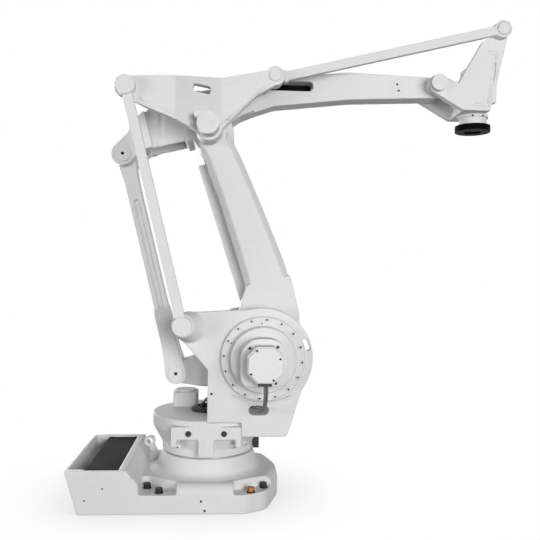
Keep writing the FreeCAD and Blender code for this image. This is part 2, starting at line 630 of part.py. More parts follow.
def leaning_slot():
    across = dim.slot_width / 2
    along = dim.slot_length / 2
    side_x, side_z = cosine(dim.slot_lean) * across, sine(dim.slot_lean) * across
    run_x, run_z = sine(dim.slot_lean) * along, cosine(dim.slot_lean) * along
    x, z = dim.slot_x, dim.slot_height
    return Outline((x + run_x - side_x, z - run_z - side_z), (x + run_x + side_x, z - run_z + side_z),
                   (x - run_x + side_x, z + run_z + side_z), (x - run_x - side_x, z + run_z - side_z))


def make_drive(number, side, hub_face):
    """Gearbox and motor on one wall; side is -1 for the near wall and 1 for the far one."""
    spigot = hub_face - dim.spigot_depth
    flange = wall_outer + dim.gearbox_flange
    case = flange + dim.gearbox_case
    gearbox = Piece(f"axis{number}_gearbox")
    profile = [(0, spigot), (dim.hub_spigot_radius - dim.pin_fit, spigot),
               (dim.hub_spigot_radius - dim.pin_fit, wall_outer), (dim.gearbox_radius, wall_outer),
               (dim.gearbox_radius, flange - dim.case_bevel), (dim.gearbox_radius - dim.case_bevel, flange),
               (dim.gearbox_case_radius, flange), (dim.gearbox_case_radius, case - dim.case_bevel),
               (dim.gearbox_case_radius - dim.case_bevel, case), (0, case)]
    corners = [(across, side * formula(along)) for across, along in profile]
    gearbox.turn(Outline(*(corners if side > 0 else corners[::-1])))
    gearbox.place(shoulder_x, 0, shoulder_z)
    bolts = Group(f"axis{number}_gearbox_bolts")
    for i in range(int(dim.gearbox_bolts.value)):
        turn = formula(FULL_TURN * (i + FIRST_GEARBOX_BOLT)) / dim.gearbox_bolts
        spot = (dim.gearbox_bolt_circle * cosine(turn), side * flange, dim.gearbox_bolt_circle * sine(turn))
        bolts.rod(spot, dim.gearbox_bolt_radius, dim.gearbox_bolt_head, "y" if side > 0 else "-y")
    bolts.place(shoulder_x, 0, shoulder_z)
    adaptor = Piece(f"axis{number}_motor_adaptor")
    end = case + dim.adaptor_length
    wide = dim.adaptor_side / 2
    crown, corner = dim.adaptor_crown, dim.adaptor_corner
    slab(adaptor, Outline((-wide, -wide, corner), (wide, -wide, corner), (wide, wide, crown),
                          (-wide, wide, crown)), case, end, side)
    motor = Piece(f"axis{number}_motor")
    slab(motor, octagon(dim.motor_side / 2, dim.motor_bevel), end, end + dim.motor_length, side)
    cover = Piece(f"axis{number}_motor_cover")
    slab(cover, octagon((dim.motor_side - dim.motor_cover) / 2, dim.motor_bevel),
         end + dim.motor_length, end + dim.motor_length + dim.motor_cover, side)
    plug = Piece(f"axis{number}_motor_plug")
    mid = end + dim.motor_length / 2
    low = -dim.motor_side / 2 - dim.plug_case_height
    half = dim.plug_case_width / 2
    y_range = sorted([side * (mid - half), side * (mid + half)], key=lambda n: n.value)
    plug.add(rectangle(-dim.plug_case_length / 2, low, dim.plug_case_length / 2, -dim.motor_side / 2),
             *y_range)
    plug.place(shoulder_x, 0, shoulder_z)


def slab(piece, outline, near, far, side):
    """Thicken an outline on one side of the arm and set it on the line of axis 2."""
    low, high = sorted([side * near, side * far], key=lambda n: n.value)
    piece.add(outline, low, high)
    piece.place(shoulder_x, 0, shoulder_z)


def octagon(half, bevel):
    """A square with cut corners."""
    inner = half - bevel
    return Outline((-inner, -half), (inner, -half), (half, -inner), (half, inner),
                   (inner, half), (-inner, half), (-half, inner), (-half, -inner))


def make_motor_leads():
    """Two leads from the near motor, through the wall and down the bore of the turret."""
    plug_low = shoulder_z - dim.motor_side / 2 - dim.plug_case_height
    plug_y = -(wall_outer + dim.gearbox_flange + dim.gearbox_case + dim.adaptor_length
               + dim.motor_length / 2)
    bore_floor = dim.turret_top - dim.entry_depth
    run = [(300, -560, 655), (299, -538, 605), (296, -485, 568), (290, -410, 545), (284, -330, 533),
           (276, -262, 528), (250, -205, 526), (205, -165, 526), (150, -135, 528), (92, -106, 532),
           (38, -78, 540), (-8, -52, 540), (-36, -30, 516), (-44, -18, 478)]
    routes = []
    for across, aside, up in ((0, 0, 0), (12, 6, 14)):
        start = (shoulder_x + across, plug_y + aside, plug_low)
        end = (-44 + across, -18 + aside, bore_floor)
        routes.append([start] + [(x + across, y + aside, z + up) for x, y, z in run] + [end])
    Leads("motor_leads", routes, dim.lead_radius)


def make_lower_arm():
    length, half = dim.lower_arm_length, dim.lower_half_width
    hub = dim.lower_hub_radius
    crotch = dim.crotch_height
    arm = Piece("lower_arm_casting")
    arm.add(lower_blade(), -half, half)
    arm.soften(dim.lower_bevel, lambda edge: long_side(edge, half))
    arm.add(Circle(0, length, dim.elbow_cheek_radius), -half, half)
    root = Outline((-hub, 0), (hub, 0), (dim.lower_root_front, length * 0.14),
                   (dim.lower_root_front, crotch + dim.root_blend),
                   (dim.lower_rear_line, crotch + dim.root_blend))
    arm.add(root, -half, -dim.lower_hub_inner)
    arm.add(Circle(0, 0, hub), -dim.lower_hub_outer, -dim.lower_hub_inner)
    arm.cut(Outline((-hub - hub, length - dim.fork_depth), (hub + hub, length - dim.fork_depth),
                    (hub + hub, length + hub), (-hub - hub, length + hub)),
            -dim.fork_half_gap, dim.fork_half_gap)
    arm.cut(Circle(0, length, dim.elbow_pin_radius + dim.pin_fit), -half, half)
    arm.cut(Circle(0, 0, dim.hub_spigot_radius), -dim.lower_hub_outer,
            -dim.lower_hub_outer + dim.spigot_depth + dim.running_gap)
    arm.cut(Circle(0, 0, dim.shoulder_pin_radius + dim.pin_fit),
            -dim.lower_hub_inner - dim.shoulder_pin_depth, -dim.lower_hub_inner)
    arm.place(shoulder_x, 0, shoulder_z, dim.lower_arm_lean)
    shaft = Group("elbow_shaft")
    shaft.rod((0, half, length), dim.elbow_pin_radius, half + dim.elbow_boss_end - dim.running_gap, "-y")
    shaft.place(shoulder_x, 0, shoulder_z, dim.lower_arm_lean)
    make_tray()


def lower_blade():
    """Side outline of the lower arm, up its front and down its bowed rear."""
    length, crotch, top_x = dim.lower_arm_length, dim.crotch_height, dim.elbow_cheek_radius
    bow, top_bow = dim.lower_bow_radius, dim.lower_top_radius
    return Outline(
        (dim.lower_root_front, crotch),
        (dim.lower_front_bulge + dim.lower_belly, length * 0.38, bow),
        (dim.lower_front_bulge, length * 0.64, bow),
        (dim.lower_top_front, length * 0.88, top_bow), (top_x, length), (-top_x, length),
        (-dim.lower_top_rear, length * 0.89, top_bow),
        (-dim.lower_rear_line * 5, length * 0.68, bow),
        (-dim.lower_rear_line, length * 0.4, bow), (dim.lower_rear_line, crotch))


def long_side(edge, half):
    box = edge.BoundBox
    outer = abs(abs(box.YMin) - half.value) < 0.01 and abs(box.YMax - box.YMin) < 0.01
    return outer and box.ZLength > 1


def make_tray():
    """The folded strip behind the lower arm that carries the cable bundle."""
    tray = Piece("cable_tray")
    out = dim.tray_stand
    thick = dim.tray_thick
    low, high = dim.tray_low, dim.tray_high
    low_x, high_x = -dim.tray_low_x, -dim.tray_high_x
    half = dim.tray_width / 2
    side = Outline((low_x, low), (low_x + dim.tray_foot, low), (high_x + dim.tray_foot, high),
                   (high_x, high))
    strip = Outline((low_x, low), (low_x + thick, low), (high_x + thick, high), (high_x, high))
    tray.add(strip, -half, half)
    for y_low, y_high in ((-half, -half + thick), (half - thick, half)):
        tray.add(side, y_low, y_high)
    for share in TRAY_FEET:
        x = low_x + (high_x - low_x) * share
        z = low + (high - low) * share
        tray.add(rectangle(x + thick / 2, z - out / 2, x + dim.tray_foot, z + out / 2),
                 -half + thick, half - thick)
    tray.cut(lower_blade(), -half, half)
    tray.place(shoulder_x, 0, shoulder_z, dim.lower_arm_lean)


def make_lever():
    reach = dim.lever_length
    half = dim.lever_half_width
    hub = dim.lever_hub_radius
    lever = Piece("lever_arm")
    tip = dim.lever_tip_radius
    lever.add(Circle(0, 0, hub), -dim.lever_hub_near, dim.lower_hub_outer)
    lever.add(Outline((-reach, -tip), (-reach * 0.72, -dim.lever_belly, hub), (0, -hub),
                      (0, dim.lever_root_half), (-reach, tip)), -half, half)
    lever.add(Circle(-reach, 0, tip), -half, half)
    lever.cut(Circle(-reach, 0, dim.lever_pin_radius + dim.pin_fit), -half, half)
    lever.cut(Circle(0, 0, dim.shoulder_pin_radius + dim.pin_fit), -dim.lever_hub_near,
              -dim.lever_hub_near + dim.shoulder_pin_depth)
    lever.cut(Circle(0, 0, dim.hub_spigot_radius),
              dim.lower_hub_outer - dim.spigot_depth - dim.running_gap, dim.lower_hub_outer)
    lever.place(shoulder_x, 0, shoulder_z, dim.upper_arm_drop)
    pin = Group("shoulder_pin")
    depth = dim.shoulder_pin_depth - dim.running_gap
    pin.rod((0, -dim.lever_hub_near + depth, 0), dim.shoulder_pin_radius,
            depth + depth + dim.lower_hub_inner - dim.lever_hub_near, "-y")
    pin.place(shoulder_x, 0, shoulder_z)
    pivot_pin("lever_pin", "lever_pin_covers", dim.rod_fork_outer, dim.lever_pin_radius,
              dim.lever_cover_radius, lever_x, lever_z)


def pivot_pin(pin_name, cover_name, half, radius, cover_radius, x, z):
    """A cross pin with a drilled cover disc on each end."""
    pin = Group(pin_name)
    pin.rod((0, half, 0), radius, half * 2, "-y")
    pin.place(x, 0, z)
    covers = Piece(cover_name)
    thick = dim.lever_cover_thick
    for low, high in ((-half - thick, -half), (half, half + thick)):
        covers.add(Circle(0, 0, cover_radius), low, high)
        covers.cut(Circle(0, 0, dim.cover_hole), low, high)
    covers.place(x, 0, z)


def make_parallel_rod():
    length = dim.lower_arm_length
    ear, head = dim.lever_tip_radius, dim.rod_head_radius
    width = dim.rod_bar_width / 2
    outer, inner = dim.rod_fork_outer, dim.lever_half_width + dim.side_gap
    rod = Piece("parallel_rod")
    neck = dim.rod_neck
    bar, fork = dim.rod_bar_half, ear * 0.95
    cheek = width * 1.12
    slot_top = dim.rod_fork_depth
    web_top = slot_top + dim.rod_fork_web + outer - bar
    rod.add(Outline((-ear * 0.8, 0), (ear * 0.8, 0), (width, neck), (width, length - neck),
                    (head * 0.9, length), (-head * 0.9, length), (-width, length - neck), (-width, neck)),
            -bar, bar)
    rod.add(Outline((-fork, 0), (fork, 0), (cheek, neck), (cheek, web_top), (-cheek, web_top),
                    (-cheek, neck)), -outer, outer)
    rod.add(Circle(0, 0, ear), -outer, outer)
    rod.add(Circle(0, length, head), -dim.rod_head_half, dim.rod_head_half)
    rod.cut(Outline((-ear * 2, -ear * 2), (ear * 2, -ear * 2), (ear * 2, slot_top),
                    (-ear * 2, slot_top)), -inner, inner)
    for side in (-1, 1):
        rod.cut(Outline((side * bar, web_top), (side * (outer + bar), web_top),
                        (side * (outer + bar), web_top - outer)), -ear, ear, "x")
    for side in (-1, 1):
        outer_face = side * dim.rod_bar_half
        floor = side * (dim.rod_bar_half - dim.rod_flute)
        low, high = sorted([outer_face, floor], key=lambda n: n.value)
        rod.cut(box_round(formula(0), length / 2, dim.rod_flute_width / 2,
                          length / 2 - neck * 1.7, dim.rod_flute), low, high)
    rod.cut(Circle(0, 0, dim.lever_pin_radius + dim.pin_fit), -outer, outer)
    rod.cut(Circle(0, length, dim.clevis_pin_radius + dim.running_gap), -dim.rod_head_half,
            dim.rod_head_half)
    rod.place(lever_x, 0, lever_z, dim.lower_arm_lean)


def make_rear_rod():
    """The levelling rod from the frame's ear to the link plate, outside the near wall."""
    length = dim.lower_arm_length
    x, z = shoulder_x - dim.rear_ear_back, shoulder_z + dim.rear_ear_rise
    near, far = -dim.rear_boss_end - dim.running_gap - dim.eye_thick, -dim.rear_boss_end - dim.running_gap
    levelling_rod("rear_levelling_rod", length, dim.eye_radius, near, far, "up", x, z, dim.lower_arm_lean)
    caps = Piece("rear_rod_caps")
    for level in (formula(0), length):
        caps.add(Circle(0, level, dim.cap_radius), near - dim.cap_thick, near)
    caps.place(x, 0, z, dim.lower_arm_lean)


def levelling_rod(name, length, eye, near, far, run, x, z, angle):
    half = dim.bar_width / 2
    inset = (dim.eye_thick - dim.bar_thick) / 2
    rod = Piece(name)
    if run == "up":
        bar, ends = rectangle(-half, 0, half, length), ((0, 0), (0, length))
    else:
        bar, ends = rectangle(0, -half, length, half), ((0, 0), (length, 0))
    rod.add(bar, near + inset, far - inset)
    for (across, up), slack in zip(ends, (dim.pin_fit, dim.running_gap)):
        rod.add(Circle(across, up, eye), near, far)
        rod.cut(Circle(across, up, dim.rod_pin_radius + slack), near, far)
    rod.place(x, 0, z, angle)
    return rod


# Where the near faces of the bent link plate and of the front rod lie
plate_front_face = dim.lower_half_width + dim.side_gap + dim.plate_depth
plate_back_face = dim.lower_half_width + dim.side_gap
front_rod_near = plate_back_face - dim.side_gap
front_rod_far = front_rod_near - dim.eye_thick


def make_link_plate():
    """The bent triangle that hangs on the elbow and carries both levelling rods."""
    rear_x, rear_z = -dim.rear_ear_back, dim.rear_ear_rise
    front_x, front_z = dim.front_ear_ahead, dim.front_ear_rise
    rear_ear, front_ear = dim.plate_rear_ear, dim.plate_front_ear
    boss = dim.elbow_boss_radius
    outer, skin, depth = dim.plate_outer, dim.plate_skin, dim.plate_depth
    fold_run = (outer - plate_front_face) / tangent(dim.plate_fold)
    bend_rear = -dim.plate_bend_rear
    bend_front = bend_rear + fold_run
    mitre = depth * tangent(dim.plate_fold / 2)
    plate = Piece("link_plate")
    top = dim.plate_top
    side = [(rear_x - rear_ear * 0.5, rear_z - rear_ear * 0.8), (-boss * 0.8, -boss * 0.35),
            (boss * 0.85, 0), (front_x - front_ear * 1.9, front_z - front_ear * 2.1),
            (front_x + front_ear * 0.5, front_z - front_ear * 0.7),
            (front_x - front_ear * 0.5, front_z + front_ear * 0.6), (bend_front, top),
            (bend_rear, top - dim.plate_top_dip), (rear_x, rear_z + rear_ear)]
    plate.add(Outline(*side), -outer, -plate_back_face)
    low, high = -boss - boss, front_z + front_ear + front_ear
    beyond = front_x + front_ear + front_ear
    far_end = rear_x - rear_ear - rear_ear
    plate.cut(Outline((bend_rear, -outer), (bend_rear, -outer - skin), (beyond, -outer - skin),
                      (beyond, -plate_front_face), (bend_front, -plate_front_face)), low, high, "z")
    plate.cut(Outline((far_end, -outer + depth), (bend_rear - mitre, -outer + depth),
                      (bend_front - mitre, -plate_back_face), (bend_front - mitre, skin - plate_back_face),
                      (far_end, skin - plate_back_face)), low, high, "z")
    lip = dim.plate_lip
    plate.cut(Outline((rear_x + rear_ear + lip, rear_z - lip), (bend_rear - mitre, dim.plate_pocket_low),
                      (bend_rear - mitre, top - dim.plate_top_dip - lip - lip),
                      (rear_x + rear_ear + lip, rear_z + lip)), -outer + skin, -outer + depth)
    plate.cut(Outline((bend_front + lip, boss + lip + lip),
                      (front_x - front_ear * 2, front_z - front_ear * 1.5),
                      (front_x - front_ear - lip, front_z), (bend_front + lip, top - lip - lip)),
              -plate_front_face + skin, -plate_back_face)
    plate.add(Circle(rear_x, rear_z, rear_ear), -outer, -outer + depth)
    plate.add(Circle(front_x, front_z, front_ear), -plate_front_face, -plate_back_face)
    plate.add(Circle(0, 0, boss), -dim.elbow_boss_end, -plate_back_face)
    plate.cut(rounded(-dim.plate_window_rear, dim.plate_window_bottom, dim.plate_window_front,
                      dim.plate_window_top, dim.window_corner), -outer, -plate_back_face)
    pin = dim.rod_pin_radius + dim.pin_fit
    plate.cut([Circle(rear_x, rear_z, pin), Circle(front_x, front_z, pin)], -outer, -plate_back_face)
    plate.cut(Circle(0, 0, dim.elbow_pin_radius + dim.pin_fit), -dim.elbow_boss_end, -plate_back_face)
    plate.place(elbow_x, 0, elbow_z)
    cap = Piece("elbow_cap")
    lobe_near, lobe_far = -dim.elbow_cap_end + dim.cap_thick, -dim.elbow_boss_end - dim.cap_thick
    cap.add(Circle(0, 0, dim.elbow_cap_radius), -dim.elbow_cap_end, -dim.elbow_boss_end)
    cap.add(Circle(-dim.elbow_cap_radius, dim.elbow_cap_radius * 0.75, dim.rod_pin_radius),
            lobe_near, lobe_far)
    cap.add(Outline((-dim.elbow_cap_radius, 0), (0, 0), (0, dim.elbow_cap_radius),
                    (-dim.elbow_cap_radius * 0.9, dim.elbow_cap_radius)), lobe_near, lobe_far)
    cap.place(elbow_x, 0, elbow_z)
    rear_pin = Group("link_rear_pin")
    rear_pin.rod((rear_x, -outer + depth, rear_z), dim.rod_pin_radius,
                 depth + dim.eye_thick, "-y")
    rear_pin.place(elbow_x, 0, elbow_z)
    front_pin = Piece("link_front_pin")
    front_pin.add(Circle(front_x, front_z, dim.rod_pin_radius),
                  -plate_front_face, -front_rod_far - dim.running_gap)
    front_pin.add(Circle(front_x, front_z, dim.front_pin_head), -plate_front_face - dim.cap_thick,
                  -plate_front_face)
    front_pin.place(elbow_x, 0, elbow_z)


def tangent(angle):
    return sine(angle) / cosine(angle)


def make_front_rod():
    """The levelling rod from the link plate to the top of the tilt house."""
    x, z = elbow_x + dim.front_ear_ahead, elbow_z + dim.front_ear_rise
    length = dim.upper_arm_length
    levelling_rod("front_levelling_rod", length, dim.front_eye_radius, -front_rod_near, -front_rod_far,
                  "along", x, z, dim.upper_arm_drop)
    inset = (dim.eye_thick - dim.bar_thick) / 2
    start = dim.front_eye_radius + dim.running_gap
    half = dim.collar_width / 2
    inner = dim.bar_width / 2 + dim.pin_fit
    collar = Piece("front_rod_collar")
    collar.add(rectangle(start, -half, start + dim.collar_length, half), -front_rod_near, -front_rod_far)
    collar.cut(rectangle(start, -inner, start + dim.collar_length, inner),
               -front_rod_near + inset - dim.pin_fit, -front_rod_far - inset + dim.pin_fit)
    collar.place(x, 0, z, dim.upper_arm_drop)
    cap = Piece("front_rod_cap")
    cap.add(Circle(length, 0, dim.front_cap_radius), -front_rod_near - dim.front_cap_out, -front_rod_near)
    cap.place(x, 0, z, dim.upper_arm_drop)


def make_upper_arm():
    length, beam = dim.upper_arm_length, dim.beam_half_width
    reach = dim.lever_length
    tip, hub = dim.tip_radius, dim.hub_radius
    arm = Piece("upper_arm_casting")
    soft = dim.beam_soft_radius
    arm.add(Outline((0, 0), (length * 0.145, dim.belly_rise * 0.8), (length * 0.3, dim.belly_rise, soft),
                    (length * 0.63, dim.belly_mid, soft), (length, -tip), (length, tip),
                    (length * 0.65, dim.fore_height, soft), (length * 0.5, dim.mid_height, soft),
                    (length * 0.26, dim.crest_height, soft), (0, dim.root_height), (-hub, dim.root_height)),
            -beam, beam)
    arm.add(Circle(length, 0, tip), -beam, beam)
    root = dim.beam_root_half
    arm.add(Outline((0, 0), (length * 0.145, dim.belly_rise * 0.8), (length * 0.21, dim.belly_rise * 0.95),
                    (length * 0.17, dim.crest_height * 0.92), (0, dim.root_height), (-hub, dim.root_height)),
            -root, root)
    arm.add(Circle(0, 0, hub), -dim.hub_half_width, dim.hub_half_width)
    tail = dim.tail_half_width
    step_x = -reach * 0.8
    arm.add(Outline((step_x, 0), (0, 0), (hub * 0.7, hub * 0.7), (0, dim.root_height),
                    (-reach * 0.56, dim.tail_height), (step_x, dim.tail_step_height)), -tail, tail)
    clevis = dim.clevis_half_width
    ear = dim.clevis_radius
    arm.add(Outline((-reach, -ear), (-reach * 0.75, 0), (-reach * 0.66, 0),
                    (-reach * 0.66, dim.tail_height * 0.9), (step_x, dim.tail_step_height),
                    (-reach * 0.89, dim.shoulder_height), (-reach - ear * 0.7, ear * 0.75)), -clevis, clevis)
    arm.add(Circle(-reach, 0, ear), -clevis, clevis)
    gap = dim.clevis_half_gap
    slot_end = -reach + dim.clevis_slot
    clear = dim.rod_head_radius + dim.side_gap + dim.side_gap
    beyond = reach + ear + ear
    arm.cut(Outline((-beyond, -clear), (slot_end, -clear), (slot_end, 0), (-reach + clear, clear),
                    (-reach, clear + ear), (-beyond, clear + ear)), -gap, gap)
    hollow = tail - dim.tail_wall
    arm.cut(rectangle(-dim.tail_hollow_rear, -ear, -dim.tail_hollow_front, dim.tail_hollow_rise),
            -hollow, hollow)
    arm.add(Circle(dim.beam_boss_x, dim.beam_boss_rise, dim.beam_boss), -root - dim.pad_thick, -root)
    arm.cut(Circle(dim.beam_hole_x, dim.beam_hole_rise, dim.beam_hole), -beam, beam)
    arm.cut(leaning_box((dim.arm_slot_start + dim.arm_slot_end) / 2, dim.arm_slot_rise,
                        (dim.arm_slot_end - dim.arm_slot_start) / 2, dim.arm_slot_height / 2,
                        -dim.arm_slot_lean, dim.arm_slot_height / 2 - dim.side_gap), -beam, beam)
    pad_x = length - dim.pad_back
    arm.add(rounded(pad_x - dim.pad_length / 2, dim.pad_rise - dim.pad_height / 2,
                    pad_x + dim.pad_length / 2, dim.pad_rise + dim.pad_height / 2, dim.pad_screw_radius),
            -beam - dim.pad_thick, -beam)
    arm.cut(Circle(0, 0, dim.elbow_pin_radius + dim.pin_fit), -dim.hub_half_width, dim.hub_half_width)
    arm.cut(Circle(-reach, 0, dim.clevis_pin_radius + dim.pin_fit), -clevis, clevis)
    arm.cut(Circle(length, 0, dim.wrist_pin_radius + dim.pin_fit), -beam, beam)
    arm.place(elbow_x, 0, elbow_z, dim.upper_arm_drop)
    pin = Group("clevis_pin")
    pin.rod((-reach, clevis, 0), dim.clevis_pin_radius, clevis * 2, "-y")
    pin.place(elbow_x, 0, elbow_z, dim.upper_arm_drop)
    covers = Piece("clevis_covers")
    thick = dim.lever_cover_thick
    for low, high in ((-clevis - thick, -clevis), (clevis, clevis + thick)):
        covers.add(Circle(-reach, 0, dim.lever_cover_radius), low, high)
        covers.cut(Circle(-reach, 0, dim.cover_hole), low, high)
    covers.place(elbow_x, 0, elbow_z, dim.upper_arm_drop)
    screws = Group("pad_screws")
    for side in (-1, 1):
        screws.rod((pad_x, -beam - dim.pad_thick, dim.pad_rise + side * dim.pad_screw_pitch / 2),
                   dim.pad_screw_radius, dim.pad_screw_radius / 2, "-y")
    screws.place(elbow_x, 0, elbow_z, dim.upper_arm_drop)


def leaning_box(centre_x, centre_z, half_length, half_height, angle, radius):
    """A rounded box turned up by an angle about its centre."""
    corners = []
    for along, up in ((-1, -1), (1, -1), (1, 1), (-1, 1)):
        x = half_length * along * cosine(angle) - half_height * up * sine(angle)
        z = half_length * along * sine(angle) + half_height * up * cosine(angle)
        corners.append((centre_x + x, centre_z + z, radius))
    return Outline(*corners)


def make_tilt_house():
    half, thick = dim.house_half_width, dim.cheek_thick
    pivot = dim.cheek_pivot_radius
    rear, front, floor = dim.house_rear, dim.house_front, dim.house_floor
    ear_x, ear_z = dim.front_ear_ahead, dim.front_ear_rise
    ear = dim.fin_ear_radius
    inner = half - thick
    house = Piece("tilt_house")
    house.add(Outline((rear, -floor), (front - dim.house_front_rake, -floor), (front, 0),
                      (front, dim.house_roof), (rear, dim.house_roof)), -half, half)
    cheek_front = rear + dim.gearbox4_radius
    cheek = [(rear, -floor), (cheek_front, -floor), (cheek_front, dim.house_roof),
             (dim.fin_notch_x, dim.house_roof), (pivot * 0.4, pivot * 0.95),
             (-pivot * 0.5, -pivot * 0.85)]
    for low, high in ((-half, -inner), (inner, half)):
        house.add(Outline(*cheek), low, high)
        house.add(Circle(0, 0, pivot), low, high)
    boss = dim.beam_half_width + dim.running_gap
    house.add(Circle(0, 0, pivot - dim.side_gap), -inner, -boss)
    house.add(Circle(0, 0, pivot - dim.side_gap), boss, inner)
    house.add(Outline((dim.fin_notch_x, -dim.fin_root), (front, -dim.fin_root), (front, 0),
                      (ear_x + ear, ear_z), (ear_x, ear_z - ear * 0.2),
                      (dim.fin_top_rear, ear_z - ear * 1.1), (dim.fin_notch_x, dim.house_roof)),
              -half, -inner)
    house.add(Circle(ear_x, ear_z, ear), -half, -inner)
    rod_side = -front_rod_far + dim.running_gap
    house.add(Circle(ear_x, ear_z, ear - dim.side_gap), rod_side, -half)
    groove = dim.groove_width
    house.cut(groove_outline(front, floor, ear_x, ear_z, groove), -half, -half + dim.groove_depth)
    house.cut(Circle(0, 0, dim.wrist_pin_radius + dim.pin_fit), -half, half)
    house.cut(Circle(ear_x, ear_z, dim.rod_pin_radius + dim.pin_fit), rod_side, -inner)
    house.place(wrist_x, 0, wrist_z)
    shaft = Group("wrist_shaft")
    shaft.rod((0, half, 0), dim.wrist_pin_radius, half * 2, "-y")
    shaft.place(wrist_x, 0, wrist_z)
    caps = Piece("wrist_caps")
    for low, high in ((-half - dim.wrist_cap_out, -half), (half, half + dim.wrist_cap_out / 2)):
        caps.add(Circle(0, 0, dim.wrist_cap_radius), low, high)
    caps.place(wrist_x, 0, wrist_z)
    top_pin = Group("front_rod_pin")
    top_pin.rod((ear_x, -inner, ear_z), dim.rod_pin_radius, front_rod_near - inner - dim.running_gap, "-y")
    top_pin.place(wrist_x, 0, wrist_z)
    make_wrist_drive(floor)


def groove_outline(front, floor, ear_x, ear_z, width):
    """The pressed groove that follows the front edge of the fin down to the floor."""
    edge = front - width
    return Outline((ear_x - width * 2.6, ear_z - width * 4.2), (ear_x - width * 0.4, ear_z - width * 4.6),
                   (edge + width * 0.3, 0), (edge - width * 0.6, -floor + width),
                   (edge - width * 4, -floor + width), (edge - width * 3.6, -floor + width * 1.7),
                   (edge - width * 1.1, -floor + width * 1.7), (edge - width * 0.5, 0),
                   (ear_x - width * 1.2, ear_z - width * 5.3), (ear_x - width * 2.5, ear_z - width * 4.9))


def make_wrist_drive(floor):
    forward = dim.flange_forward
    gear = Piece("axis4_gearbox")
    disc_top = -dim.flange_drop + dim.disc_thick
    bottom = disc_top + dim.running_gap
    radius, throat = dim.gearbox4_radius, dim.gearbox4_radius - dim.gearbox4_step
    rim = -floor - dim.gearbox4_rim
    gear.turn(Outline((0, bottom), (throat, bottom), (throat, rim), (radius, rim), (radius, -floor),
                      (0, -floor)), "z")
    gear.place(wrist_x + forward, 0, wrist_z)
    motor = Piece("axis4_motor")
    roof = dim.house_roof
    side = dim.motor4_radius
    motor.add(box_round(formula(0), dim.motor4_y, side, side, dim.motor1_corner),
              roof, roof + dim.motor4_height, "z")
    motor.place(wrist_x + forward, 0, wrist_z)
    disc = Piece("turning_disc")
    disc.turn(Outline((0, -dim.flange_drop), (dim.disc_radius, -dim.flange_drop),
                      (dim.disc_radius, disc_top), (0, disc_top)), "z")
    disc.cut(Circle(0, 0, dim.disc_bore), -dim.flange_drop, -dim.flange_drop + dim.disc_bore_depth, "z")
    circle = dim.disc_bolt_circle
    holes = []
    for i in range(int(dim.disc_threads.value)):
        turn = formula(FULL_TURN * i) / dim.disc_threads
        holes.append(Circle(circle * cosine(turn), circle * sine(turn), dim.disc_thread))
    disc.cut(holes, -dim.flange_drop, -dim.flange_drop + dim.disc_thread_depth, "z")
    disc.place(wrist_x + forward, 0, wrist_z)


def write_parts():
    doc.recompute()
    failed = [item.Name for item in doc.Objects if {"Invalid", "Error"} & set(item.State)]
    failed += [piece.Label for piece in pieces if piece.Shape.isNull() or not piece.Shape.isValid()]
    if failed:
        raise RuntimeError("not built: " + ", ".join(failed))
    os.makedirs("parts", exist_ok=True)
    for piece in pieces:
        piece.Shape.exportStep(f"parts/{piece.Label}.step")
        print(piece.Label, len(piece.Shape.Solids), round(piece.Shape.Volume / 1000), "cm3")


make_base()
make_frame()
make_drive(2, -1, dim.lower_hub_outer)
make_drive(3, 1, dim.lower_hub_outer)
make_motor_leads()
make_lower_arm()
make_lever()
make_parallel_rod()
make_rear_rod()
make_link_plate()
make_front_rod()
make_upper_arm()
make_tilt_house()
write_parts()
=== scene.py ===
"""Looks of the palletising robot arm: softened castings, enamel, fasteners, leads and studio."""
import json
import math

import bmesh
import bpy
from mathutils import Matrix, Vector
from mathutils.bvhtree import BVHTree

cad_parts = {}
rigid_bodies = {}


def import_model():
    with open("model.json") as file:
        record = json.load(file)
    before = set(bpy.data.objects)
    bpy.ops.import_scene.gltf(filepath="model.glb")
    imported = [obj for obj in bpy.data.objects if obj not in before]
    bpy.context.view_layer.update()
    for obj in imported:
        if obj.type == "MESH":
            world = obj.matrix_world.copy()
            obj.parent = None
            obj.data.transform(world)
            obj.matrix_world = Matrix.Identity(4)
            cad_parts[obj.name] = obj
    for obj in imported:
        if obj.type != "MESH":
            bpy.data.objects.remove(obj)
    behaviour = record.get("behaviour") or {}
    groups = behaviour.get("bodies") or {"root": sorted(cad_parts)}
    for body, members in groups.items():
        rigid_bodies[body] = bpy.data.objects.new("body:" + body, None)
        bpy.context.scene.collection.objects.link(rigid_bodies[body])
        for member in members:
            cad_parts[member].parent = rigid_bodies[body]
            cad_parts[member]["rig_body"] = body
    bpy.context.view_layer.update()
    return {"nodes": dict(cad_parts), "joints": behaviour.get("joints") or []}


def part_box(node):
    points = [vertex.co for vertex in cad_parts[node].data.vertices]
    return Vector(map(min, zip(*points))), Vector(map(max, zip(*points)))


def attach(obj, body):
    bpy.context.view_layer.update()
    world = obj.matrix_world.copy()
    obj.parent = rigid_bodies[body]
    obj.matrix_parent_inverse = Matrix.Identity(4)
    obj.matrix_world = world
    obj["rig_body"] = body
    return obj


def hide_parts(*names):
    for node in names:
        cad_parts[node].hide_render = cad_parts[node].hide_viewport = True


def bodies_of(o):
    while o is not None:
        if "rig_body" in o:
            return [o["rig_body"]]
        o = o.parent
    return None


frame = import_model()
nodes = frame["nodes"]
pivots = {joint["name"]: Vector(joint["pos_m"]) for joint in frame["joints"]}

